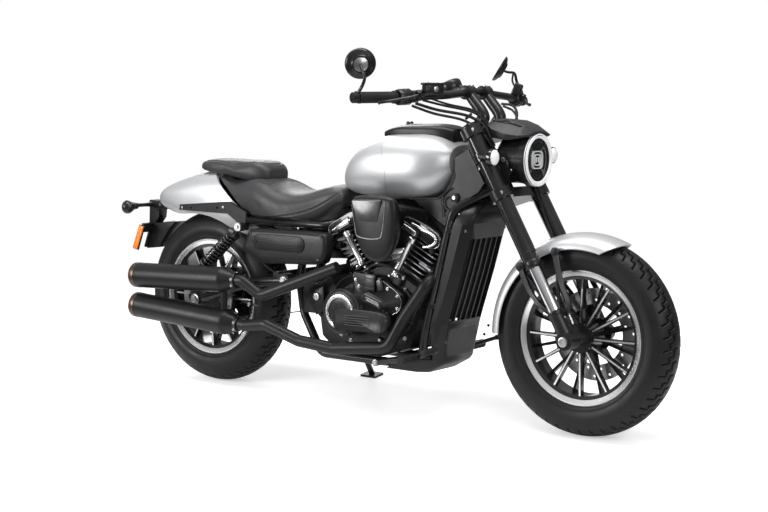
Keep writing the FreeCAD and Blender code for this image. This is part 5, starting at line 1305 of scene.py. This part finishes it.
# Each rocker cover: the cylinder's lean, the cover's outline, the line along its top edge, the bright band and
# the band's radius, the pushrod tube's upper and lower end, and the middle of the raised block.
ROCKERS = (
    (CYLINDER_LEANS[0],
     [(922, 660), (926, 671), (940, 679), (977, 668), (1032, 647), (1067, 626), (1078, 611), (1078, 591),
      (1066, 576), (1042, 571), (1005, 598), (977, 610), (930, 635)],
     [(937, 674), (977, 665), (1032, 642), (1066, 621), (1074, 602), (1069, 585), (1056, 576)],
     [(964, 653), (988, 644), (1005, 634), (1032, 627), (1052, 616), (1060, 603), (1051, 590), (1032, 581),
      (1010, 578)], 5.2, (964, 607), (889, 476), (953, 632)),
    (CYLINDER_LEANS[1],
     [(607, 619), (621, 634), (658, 657), (699, 681), (716, 684), (722, 640), (699, 627), (637, 601), (617, 596)],
     [(614, 602), (609, 617), (620, 632), (658, 654), (699, 676)],
     [(629, 613), (651, 626), (678, 640), (704, 653)], 3.4, (682, 610), (753, 498), (672, 634)),
)


def make_rockers():
    bright, dark = bmesh.new(), bmesh.new()
    for lean, body, line, band, thick, top, foot, bump in ROCKERS:
        slab(dark, body, 84, 119, side_frame(-1), 5, 3, 1)
        sweep(bright, rounded(on_side(line, -118.6), 5), 1.5, 8)
        sweep(bright, rounded(on_side(band, -119.5)), thick)
        turn = placed(bump[0], -121, bump[1], math.radians(lean))
        block(bright, (60, 9, 19), turn, 4, 3)
        block(dark, (72, 8, 34), turn @ Matrix.Translation((0, 3, 0)), 5, 3, 1)
        for x in (-31, 31):
            bolt(dark, turn @ Vector((x, -1.5, -10)), 4.2, 4)
        start, end = on_side((foot, top), -112)
        length = (end - start).length
        lathe(bright, [(13, -2), (15.4, -1), (15.4, 7), (13, 9), (13, 13), (11.6, 15), (11.6, length - 22),
                       (13, length - 20), (15, length - 18), (15, length - 2), (13, length)],
              axis_matrix(start, (end - start).normalized()), 36)
        for ahead in (-17, 17):
            bolt(bright, start + Vector((ahead, -8, -4)), 3.6, 3)
        cylinder = placed(*CRANK, math.radians(lean))
        away = math.copysign(1, lean)
        spark = axis_matrix(cylinder @ Vector((away * 44, -88, 322)),
                            cylinder.to_3x3() @ Vector((away * 0.25, -1, 0.15)))
        lathe(dark, [(9, -8), (9, 4), (11, 6), (11, 20), (8, 24), (5, 26)], spark, 24)
    # The intake between the heads fills the space below the tank.
    block(dark, (150, 130, 84), placed(915, 0, 668, 0.12), 12, 4)
    block(dark, (90, 150, 120), placed(838, -20, 620), 14, 4)
    emit("engine_bright_trim", bright, "chassis", ["machined"], ["pushrod_tubes"])
    emit("engine_dark_trim", dark, "chassis", ["engine_black", "gloss_black"], ["rocker_covers"])


def long_cover_moved(point):
    """Pulls in the rear end of the long cover on the right."""
    start, end = Vector((692, 0, 316)), Vector((880, 0, 319))
    end_from, radius, kept = 726, 34.7, 0.52
    flat, run = Vector((point.x, 0, point.z)) - start, end - start
    share = max(0.0, min(1.0, flat.dot(run) / run.length_squared))
    if point.y < -160 and (flat - run * share).length < radius and point.x < end_from:
        return Vector((end_from - (end_from - point.x) * kept, point.y, point.z))
    return point


def make_right_covers():
    centre = Vector((698, 0, 338))
    bm = bmesh.new()
    # Bright ring and fine circles on the round cover.
    lathe(bm, [(61, 0), (60, 2.2), (57, 3.2), (50, 2.6), (48.5, 1.4), (48, 0)],
          outward(centre.x, -168.6, centre.z), 72, cap=False)
    for radius, side, size in ((77.5, -158, 1.3), (70, -167, 0.9)):
        ring = [centre + Vector((radius * math.cos(t), side, radius * math.sin(t))) for t in circle(60)]
        sweep(bm, ring, size, 8, 1, closed=True)
    # Fine ribs along the long cover, and the two blocks of the sensor above it.
    for z in (302, 310, 318, 326, 334):
        sweep(bm, on_side(((742, z), (850, z + 2)), -198.2), 1.5, 8, 1)
    block(bm, (44, 34, 58), placed(812, -136, 446, 0.1), 5, 3, 2)
    block(bm, (24, 30, 40), placed(850, -134, 440, -0.25), 4, 3, 2)
    for z in (430, 446, 462):
        sweep(bm, on_side(((792, z), (832, z - 3)), -153.5), 2.2, 8, 1)
    reshaped("right_cover_skin", "right_covers", "engine_cover", long_cover_moved)
    # Edge line of the hexagonal plate.
    sweep(bm, rounded(on_side(((845, 463), (929, 411), (929, 361), (878, 335)), -140.4), 3), 1.3, 8)
    for x, z in ((842, 455), (921, 408), (921, 366), (876, 344), (760, 430), (745, 452), (800, 452), (880, 430)):
        bolt(bm, (x, -140, z), 4.6, 5, "hex")
    for turn in circle(6):
        bolt(bm, centre + Vector((86 * math.cos(turn + 0.4), -106, 86 * math.sin(turn + 0.4))), 5, 6, "hex", 1)
    sweep(bm, on_side(capsule_line((808, 396), (868, 376), 12), -168.4), 1.4, 8, 2, closed=True)
    for offset in (-5, 0, 5):
        sweep(bm, on_side(((812, 394 + offset), (864, 377 + offset)), -168.6), 1.3, 8)
    emit("engine_cover_trim", bm, "chassis", ["machined", "cover_grey", "dark_steel"])


# The air cleaner's outline, its middle, and its sections outward: y and share of the outline.
CLEANER_OUTLINE = [(768, 716), (778, 736), (806, 743), (860, 744), (922, 742), (942, 731), (950, 700), (950, 640),
                   (940, 580), (915, 537), (877, 522), (832, 535), (802, 572), (778, 640)]
CLEANER_MIDDLE = (864, 640)
CLEANER_ROWS = ((-126, 0.66), (-140, 0.72), (-158, 0.86), (-172, 0.955), (-180, 0.985), (-187, 1.0), (-193, 0.995),
                (-198, 0.97), (-201.5, 0.93), (-203.5, 0.88), (-204.5, 0.82), (-207, 0.6), (-208, 0.3),
                (-208.5, 0.02))
CLEANER_PANEL = [(776, 724), (797, 661), (806, 656), (872, 656), (884, 661), (899, 729), (894, 733), (782, 728)]
CLEANER_LINE = ((775, 712), (783, 670), (789, 636), (794, 616), (806, 606), (850, 601), (890, 605), (900, 616),
                (907, 650), (912, 700), (914, 728))


def cleaner_face(x, z):
    """How far out the air cleaner's crowned face stands."""
    reach = max(abs(x - 864) / 90, abs(z - 636) / 112)
    return -208.8 + 4.5 * min(1.0, reach) ** 2


def make_air_cleaner():
    middle_x, middle_z = CLEANER_MIDDLE
    shape = ring_curve(CLEANER_OUTLINE)
    bm = bmesh.new()
    loops_to_mesh(bm, [[Vector((middle_x + (x - middle_x) * share, y, middle_z + (z - middle_z) * share))
                        for x, z in shape] for y, share in CLEANER_ROWS])
    slab(bm, CLEANER_PANEL, 203, 212, side_frame(-1), 3.5, 3, 1)
    emit("air_cleaner_cover", bm, "chassis", ["plastic", "panel_grey"], ["air_cleaner"], angle=40)

    bm = bmesh.new()
    line = rounded(on_side(CLEANER_LINE, 0), 4)
    sweep(bm, [(point.x, cleaner_face(point.x, point.z), point.z) for point in line], 1.8, 8)
    emit("air_cleaner_line", bm, "chassis", ["machined"])


# Hoses around the engine. The first four start at a clamp, and the first one also ends at one.
HOSES = (
    [(770, -112, 470), (800, -122, 500), (850, -126, 508), (900, -122, 494), (930, -118, 470)],
    [(720, -112, 462), (690, -120, 452), (660, -124, 430), (640, -116, 400), (650, -108, 372)],
    [(930, -108, 430), (960, -116, 400), (968, -118, 350), (950, -112, 300), (900, -112, 262)],
    [(830, -112, 250), (880, -126, 238), (930, -128, 216), (990, -118, 204), (1040, -112, 208)],
    [(300, -112, 480), (330, -118, 462), (372, -112, 440), (410, -96, 420)],
)


def make_plumbing():
    """Small plumbing and fasteners that show between the cylinders and under the covers."""
    bm = bmesh.new()
    for hose in HOSES:
        sweep(bm, rounded(hose, 8), 4.2)
    for at in (HOSES[0][0], HOSES[0][-1], HOSES[1][0], HOSES[2][0], HOSES[3][0]):
        lathe(bm, [(5.6, -6), (6.6, -5), (6.6, 5), (5.6, 6)], axis_matrix(at, (0.3, -0.4, 1)), 20, 1)
    block(bm, (46, 22, 34), placed(850, -118, 430, -0.3), 5, 3, 2)
    block(bm, (30, 18, 22), placed(806, -122, 462, 0.2), 4, 3, 1)
    for x, z in ((660, 250), (700, 232), (760, 226), (820, 226), (880, 232), (930, 262), (955, 318), (945, 372)):
        bolt(bm, (x, -105, z), 6, 6, "hex", 1)
    emit("engine_plumbing", bm, "chassis", ["rubber", "steel", "cover_grey"])


def make_foot_controls():
    rib_pitch, ribs_end = 8.6, 96
    peg = [(13.2, 0), (14.6, 1)]
    step = 4
    while step < ribs_end:
        peg += [(14.8, step), (14.8, step + 5), (13.4, step + 5.6), (13.4, step + 8)]
        step += rib_pitch
    peg += [(14.8, 97), (14.8, 104), (12, 106)]
    pad = [(9.2, 0), (10.6, 1)]
    for rib in range(0, 56, 8):
        pad += [(10.8, 2 + rib), (10.8, 6 + rib), (9.6, 6.6 + rib), (9.6, 9 + rib)]
    pad += [(10.4, 60), (8, 62)]
    bm = bmesh.new()
    for s in SIDES:
        # Footpeg plate behind the engine with its round bolt.
        slab(bm, [(536, 420), (590, 420), (596, 330), (560, 310), (530, 350)], 118, 124, side_frame(s), 2)
        bolt(bm, (564, s * 124, 376), 13, 7, material=1)
        # Ribbed rubber on the pegs and the pedal pads.
        lathe(bm, peg, outward(1014, s * 146, 212), 28, 2)
        lathe(bm, pad, outward(1112, s * 202, 250), 24, 2)
        bolt(bm, (835, s * 146, 175), 9, 6, "hex", 1)
        bolt(bm, (1014, s * 140, 212), 6, 4, "hex", 1, (0, -s, 0))
    emit("foot_control_trim", bm, "chassis", ["satin_black", "steel", "rubber"])


def make_neck_panels():
    border = ((1066, 680), (1058, 735), (1076, 762), (1098, 776))
    trim = ((1106, 826), (1094, 797), (1068, 759), (1040, 739), (990, 735), (936, 733))
    ring = [(1093 + 26 * math.cos(turn), 726 + 22 * math.sin(turn)) for turn in circle(36)]
    bm = bmesh.new()
    for s in SIDES:
        bolt(bm, (1110, s * 88, 745), 15, 3, "dome")
        bolt(bm, (1110, s * 90.6, 745), 7, 4, material=1)
        lathe(bm, [(5, 0.4), (5, 1.2), (3, 1.2), (3, -2)], outward(1066, s * 88, 700), 24)
        sweep(bm, on_side(ring, s * 88.6), 2.4, 8, closed=True)
        sweep(bm, rounded(on_side(border, s * 88.4), 5), 2.0, 10)
        sweep(bm, rounded(on_side(trim, s * 88.2), 4), 1.8, 8)
    emit("neck_panel_trim", bm, "chassis", ["plastic_grey", "steel"])


def make_exhaust_trim():
    # Each muffler: rear end's height, then x and z of its front end.
    mufflers = ((405, 276, 418), (294.5, 288, 262))
    ports = (((1012, -52, 494), (0.891, 0, -0.454)), ((671, -52, 488), (-0.875, 0, -0.485)))
    bm = bmesh.new()
    for z_rear, x_front, z_front in mufflers:
        start, end = Vector((-201, -250, z_rear)), Vector((x_front, -222, z_front))
        length = (end - start).length
        place = axis_matrix(start, (end - start).normalized())
        lathe(bm, [(34, 42), (35, 4), (37, 0.5), (41, -0.6), (45, 0.6), (46.5, 4), (46.6, 18), (45.6, 24),
                   (44.4, 24)], place, 64, 1, cap=False)
        lathe(bm, [(35, 26), (30, 26), (28, 24), (10, 24), (10, 60)], place, 48, 2, cap=False)
        for radius, holes in ((16, 10), (22, 14), (28, 18)):
            for turn in circle(holes):
                lathe(bm, [(1.6, 23.6), (1.6, 23.4), (0, 23.3)],
                      place @ Matrix.Translation((radius * math.cos(turn), radius * math.sin(turn), 0)), 8)
        lathe(bm, [(46.05, 22), (46.8, 23), (46.8, 26), (46.05, 27)], place, 64)
        lathe(bm, [(46.0, length - 66), (47, length - 65), (47, length - 58), (42.5, length - 44),
                   (41.2, length - 43)], place, 64)
        lathe(bm, [(26.0, length - 14), (28.2, length - 12), (28.2, length - 2), (26, length)], place, 48, 2)
        bolt(bm, place @ Vector((18, -22, length - 7)), 4, 5, "hex", 3, place.to_3x3() @ Vector((0.6, -0.8, 0)))
    for at, direction in ports:
        place = axis_matrix(at, direction)
        lathe(bm, [(21.5, 0), (30, 1), (31, 3), (31, 9), (28, 11), (21.5, 12)], place)
        for turn in (0.6, 3.74):
            bolt(bm, place @ Vector((27 * math.cos(turn), 27 * math.sin(turn), 10)), 4.5, 7, "hex", 3, direction)
    bolt(bm, (306, -186, 335), 6, 6, material=3)
    slab(bm, [(262, 342), (344, 330), (344, 322), (262, 334)], 176, 182, side_frame(-1), 1.5)
    emit("exhaust_trim", bm, "chassis", ["exhaust", "bronze", "dark_steel", "steel"])


def make_shroud_bolts():
    bm = bmesh.new()
    for s in SIDES:
        for x, z in ((1104, 268), (1120, 300), (1176, 640)):
            bolt(bm, (x, s * 118, z), 5, 3)
    emit("shroud_bolts", bm, "chassis", ["dark_steel"])


def make_pulley_trim():
    bm = bmesh.new()
    for turn in circle(5):
        bolt(bm, wheel_point(REAR_AXLE, 42, turn, 89), 6, 6, "hex")
    emit("pulley_bolts", bm, "rear_wheel", ["steel"])
    bm = bmesh.new()
    for turn in circle(60):
        block(bm, (3, 15.5, 1.6), placed(*wheel_point(REAR_AXLE, 95.8, turn, 90.8), turn), 0.5, 1)
    emit("pulley_teeth", bm, "rear_wheel", ["dark_steel"])


def make_stand_trim():
    bm = bmesh.new()
    start, end = Vector((572, 150, 190)), Vector((540, 196, 110))
    sweep(bm, coil(axis_matrix(start, (end - start).normalized()), 5.2, 26, 0, (end - start).length, 420), 1.3, 6)
    emit("stand_spring", bm, "side_stand", ["steel"])


# Seats

# The pillion pad's front end hangs lower than its middle: x, the CAD underside's height and the wanted one.
PAD_FROM, PAD_TOP = 90, 836
PAD_UNDERSIDE = [(90, 764, 764), (190, 768, 751), (254, 768, 746), (284, 772, 756)]
CLOTH_STEPS = 20
SEAM_GUIDE = ((66, 765), (100, 728), (150, 692), (205, 665), (270, 650), (345, 645), (430, 652), (520, 676),
              (600, 716), (640, 742))


def seat_source(node):
    """A copy of the CAD cushion."""
    mesh = nodes[node].data.copy()
    bm = bmesh.new()
    bm.from_mesh(mesh)
    bmesh.ops.remove_doubles(bm, verts=bm.verts, dist=0.00002)
    if node == "pillion_seat":
        for vert in bm.verts:
            point = TO_UPRIGHT @ vert.co
            before, after = between(PAD_UNDERSIDE, point.x)
            if point.x > PAD_FROM and point.z < PAD_TOP:
                point.z = PAD_TOP - (PAD_TOP - point.z) * (PAD_TOP - after) / (PAD_TOP - before)
                vert.co = UPRIGHT @ point
    bmesh.ops.recalc_face_normals(bm, faces=bm.faces)
    bm.to_mesh(mesh)
    bm.free()
    return mesh


def swell(piece, cap):
    """Blows the cushion up as cloth, and keeps each point within the cap of where it was."""
    scene = bpy.context.scene
    rest = [vert.co.copy() for vert in piece.data.vertices]
    cloth = piece.modifiers.new("cloth", "CLOTH")
    cloth.settings.use_pressure = True
    cloth.settings.uniform_pressure_force = 4.0
    cloth.settings.effector_weights.gravity = 0
    cloth.settings.tension_stiffness = 18
    cloth.settings.compression_stiffness = 18
    cloth.settings.bending_stiffness = 1.5
    cloth.point_cache.frame_start = 1
    cloth.point_cache.frame_end = CLOTH_STEPS
    for step in range(1, CLOTH_STEPS + 1):
        scene.frame_set(step)
    depsgraph = bpy.context.evaluated_depsgraph_get()
    moved = [vert.co.copy() for vert in piece.evaluated_get(depsgraph).data.vertices]
    piece.modifiers.remove(cloth)
    scene.frame_set(1)
    for vert, start, end in zip(piece.data.vertices, rest, moved):
        step = end - start
        if step.length > cap:
            step = step.normalized() * cap
        vert.co = start + step


def inflate(name, node, voxel, cap, shrink):
    """Remeshes a copy of the cushion, draws it in a little, swells it and smooths it."""
    piece = bpy.data.objects.new(name, seat_source(node))
    bpy.context.scene.collection.objects.link(piece)
    bpy.context.view_layer.objects.active = piece
    for other in bpy.context.selected_objects:
        other.select_set(False)
    piece.select_set(True)
    remesh = piece.modifiers.new("remesh", "REMESH")
    remesh.mode = "VOXEL"
    remesh.voxel_size = voxel
    bpy.ops.object.modifier_apply(modifier="remesh")
    mesh = piece.data
    mesh.update()
    for vert, normal in zip(mesh.vertices, [vert.normal.copy() for vert in mesh.vertices]):
        vert.co = vert.co - normal * shrink
    swell(piece, cap)
    smooth = piece.modifiers.new("smooth", "SMOOTH")
    smooth.factor = 0.5
    smooth.iterations = 2
    bpy.ops.object.modifier_apply(modifier="smooth")
    detail = piece.modifiers.new("detail", "SUBSURF")
    detail.levels = 1
    bpy.ops.object.modifier_apply(modifier="detail")
    return piece


def press(piece, lines, depth, width, ridge):
    """Presses narrow channels along lines into the mesh, and raises the leather beside them."""
    window, millimetre = 60, 0.001
    segments = [(a, b) for line in lines for a, b in zip(line, line[1:])]
    vertices = piece.data.vertices
    for vert, normal in zip(vertices, [vert.normal.copy() for vert in vertices]):
        point = TO_UPRIGHT @ vert.co
        near = math.inf
        for a, b in segments:
            if abs(a.x - point.x) > window or abs(a.z - point.z) > window:
                continue
            edge = b - a
            share = max(0.0, min(1.0, (point - a).dot(edge) / edge.length_squared))
            near = min(near, (point - (a + edge * share)).length)
        if near < width * 4:
            fall = math.exp(-(near / width) ** 2)
            raised = math.exp(-((near - width * 2) / width) ** 2)
            vert.co = vert.co + normal * millimetre * (ridge * raised - depth * fall)


def finish_seat(piece, node):
    mesh = piece.data
    mesh.materials.clear()
    mesh.materials.append(MATS["leather"])
    mesh.polygons.foreach_set("use_smooth", [True] * len(mesh.polygons))
    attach(piece, "chassis")
    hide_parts(node)


def stitches(name, piece, lines, rise):
    """Threads along lines, set on the finished cushion a little above them."""
    pitch, lift = 5.0, 0.2
    tree = mesh_tree(piece.data)
    bm = bmesh.new()
    for line in lines:
        hits = [tree.find_nearest(point + Vector((0, 0, rise)))[:2] for point in line]
        line = [hit + normal * lift for hit, normal in hits]
        travelled = 0.0
        for a, b in zip(line, line[1:]):
            edge = b - a
            while travelled < edge.length:
                at = a + edge * (travelled / edge.length)
                block(bm, (0.9, 0.9, 3.2), axis_matrix(at, edge.normalized()), 0.35, 1)
                travelled += pitch
            travelled -= edge.length
    emit(name, bm, "chassis", ["thread"])


def make_seats():
    down = (0, 0, -1)
    rider = inflate("rider_cushion", "rider_seat", 0.006, 0.006, 0.0035)
    tree = mesh_tree(rider.data)
    seams = [dropped(tree, rounded(on_side(SEAM_GUIDE, s * 400), 5), (0, -s, 0)) for s in SIDES]
    press(rider, seams, 2.6, 3.0, 0.9)
    tree = mesh_tree(rider.data)
    wrinkles = []
    for x in range(262, 317, 11):
        ridge = [(x + 14 * abs(y) / 100, y, 900) for y in range(-96, 97, 12)]
        wrinkles.append(dropped(tree, rounded(ridge, 2), down))
    press(rider, wrinkles, 1.6, 3.4, 0.8)
    finish_seat(rider, "rider_seat")
    stitches("rider_seat_stitches", rider, seams, 3.4)

    middle, length_half, width_half, squareness, above = 110, 156, 74, 0.62, 900
    pillion = inflate("pillion_cushion", "pillion_seat", 0.005, 0.005, 0.003)
    ring = []
    for turn in circle(48):
        ahead, out = (math.copysign(abs(part) ** squareness, part) for part in (math.cos(turn), math.sin(turn)))
        ring.append((middle + length_half * ahead, width_half * out, above))
    rim = dropped(mesh_tree(pillion.data), rounded(ring + ring[:1], 2), down)
    press(pillion, [rim], 1.8, 3.0, 0.7)
    finish_seat(pillion, "pillion_seat")
    stitches("pillion_stitches", pillion, [rim], 2.0)


# CAD nodes' materials

DRESS = {
    "satin_black": ["frame", "swingarm", "fender_rails", "triple_clamps", "handlebar", "foot_controls",
                    "hand_controls", "plate_bracket", "side_stand", "mirrors", "fork_lugs", "headlight",
                    "instrument", "rear_caliper", "fuel_cap"],
    "tube_black": ["fork_tubes"],
    "engine_black": ["crankcase", "primary_cover"],
    "gloss_black": ["rocker_covers", "front_indicators"],
    "engine_cover": ["right_covers"],
    "fins": ["cylinders"],
    "chrome": ["fork_stanchions", "pushrod_tubes"],
    "silver": ["fuel_tank", "front_fender", "rear_fender"],
    "plastic": ["air_cleaner", "radiator_shroud", "side_covers", "neck_covers", "tank_console"],
    "plastic_grey": ["nacelle"],
    "exhaust": ["exhaust_headers", "mufflers"],
    "leather": ["rider_seat", "pillion_seat"],
    "tyre": ["front_tyre", "rear_tyre"],
    "front_wheel": ["front_rim"],
    "rear_wheel": ["rear_rim"],
    "front_disc": ["front_disc"],
    "rear_disc": ["rear_disc"],
    "steel": ["front_axle", "rear_axle", "shock_absorbers", "drive_sprocket"],
    "dark_steel": ["rear_pulley", "front_caliper"],
    "radiator": ["radiator"],
    "rubber": ["grips", "drive_belt"],
    "white_lens": ["headlight_lens"],
    "dark_lens": ["rear_indicators"],
    "red": ["tail_light"],
    "amber": ["side_reflectors"],
}


def dress_nodes():
    for mat, names in DRESS.items():
        for name in names:
            mesh = nodes[name].data
            mesh.materials.clear()
            mesh.materials.append(MATS[mat])


# Stage

def make_floor():
    """A pale floor that fades out around the bike."""
    size = 30
    mesh = bpy.data.meshes.new("floor")
    mesh.from_pydata([(-size, -size, 0), (size, -size, 0), (size, size, 0), (-size, size, 0)], [], [(0, 1, 2, 3)])
    floor = bpy.data.objects.new("floor", mesh)
    bpy.context.scene.collection.objects.link(floor)
    net = Net("pale_floor")
    tone = net.mix(net.noise(0.6), rgb(0.86, 0.86, 0.86), rgb(0.90, 0.90, 0.90))
    seen = net.node("LightPath").outputs["Is Camera Ray"]
    away = net.vector("LENGTH", net.vector("MULTIPLY", net.coords, (0.72, 1.0, 1.0)))
    net.set(colour=tone, rough=0.8, specular=0.1, emission=rgb(1, 1, 1), glow=net.math("MULTIPLY", seen, 0.42),
            alpha=net.span(away, 1.1, 2.1, 1.0, 0.0))
    mesh.materials.append(net.material)


def make_world():
    """What the eye sees is white. What lights the bike is a bright sky that darkens toward the horizon."""
    world = bpy.data.worlds.new("studio")
    bpy.context.scene.world = world
    world.use_nodes = True
    tree = world.node_tree
    background = tree.nodes["Background"]
    path = add_node(tree, "LightPath").outputs
    seen = add_node(tree, "Math", (path["Is Camera Ray"], path["Is Transmission Ray"]), operation="MAXIMUM")
    direction = add_node(tree, "TexCoord").outputs["Generated"]
    height = add_node(tree, "SeparateXYZ", (direction,)).outputs["Z"]
    sky = add_node(tree, "MapRange", (height, -0.05, 0.75, 0.12, 0.62)).outputs[0]
    strength = add_node(tree, "MapRange", (seen.outputs[0], 0.0, 1.0, sky, 1.0)).outputs[0]
    feed(tree, background.inputs["Strength"], strength)
    feed(tree, background.inputs["Color"], (1, 1, 1, 1))


# Each lamp: where it is, where it aims, width, height and power.
LAMPS = {
    "overhead_softbox": ((0.2, -0.2, 3.2), (0, 0, 0.5), 3.4, 1.0, 95),
    "front_softbox": ((3.4, -1.6, 2.0), (0.3, 0, 0.6), 0.8, 2.2, 40),
    "side_softbox": ((-2.4, -3.2, 1.7), (-0.3, 0, 0.6), 1.1, 1.8, 105),
    "rim_softbox": ((-2.6, 2.6, 2.2), (0, 0, 0.6), 1.4, 1.6, 40),
}


def make_lamps():
    for name, (at, target, width, height, power) in LAMPS.items():
        data = bpy.data.lights.new(name, "AREA")
        data.shape = "RECTANGLE"
        data.size = width
        data.size_y = height
        data.energy = power
        light = bpy.data.objects.new(name, data)
        light.matrix_world = axis_matrix(at, Vector(at) - Vector(target))
        bpy.context.scene.collection.objects.link(light)


bpy.context.scene.view_settings.view_transform = "Standard"
for build in (make_materials, set_camera, dress_nodes, make_wheels, make_fork_trim, make_headlight, make_cowl,
              make_front_indicators, make_grips, make_hand_controls, make_mirrors, make_gauge, make_cables,
              make_risers, make_fenders, make_front_skins, make_tank_trim, make_rails, make_shocks, make_tail,
              make_side_covers, make_rockers, make_right_covers, make_air_cleaner, make_plumbing,
              make_foot_controls, make_neck_panels, make_exhaust_trim, make_shroud_bolts, make_pulley_trim,
              make_stand_trim, make_seats, make_floor, make_world, make_lamps):
    build()
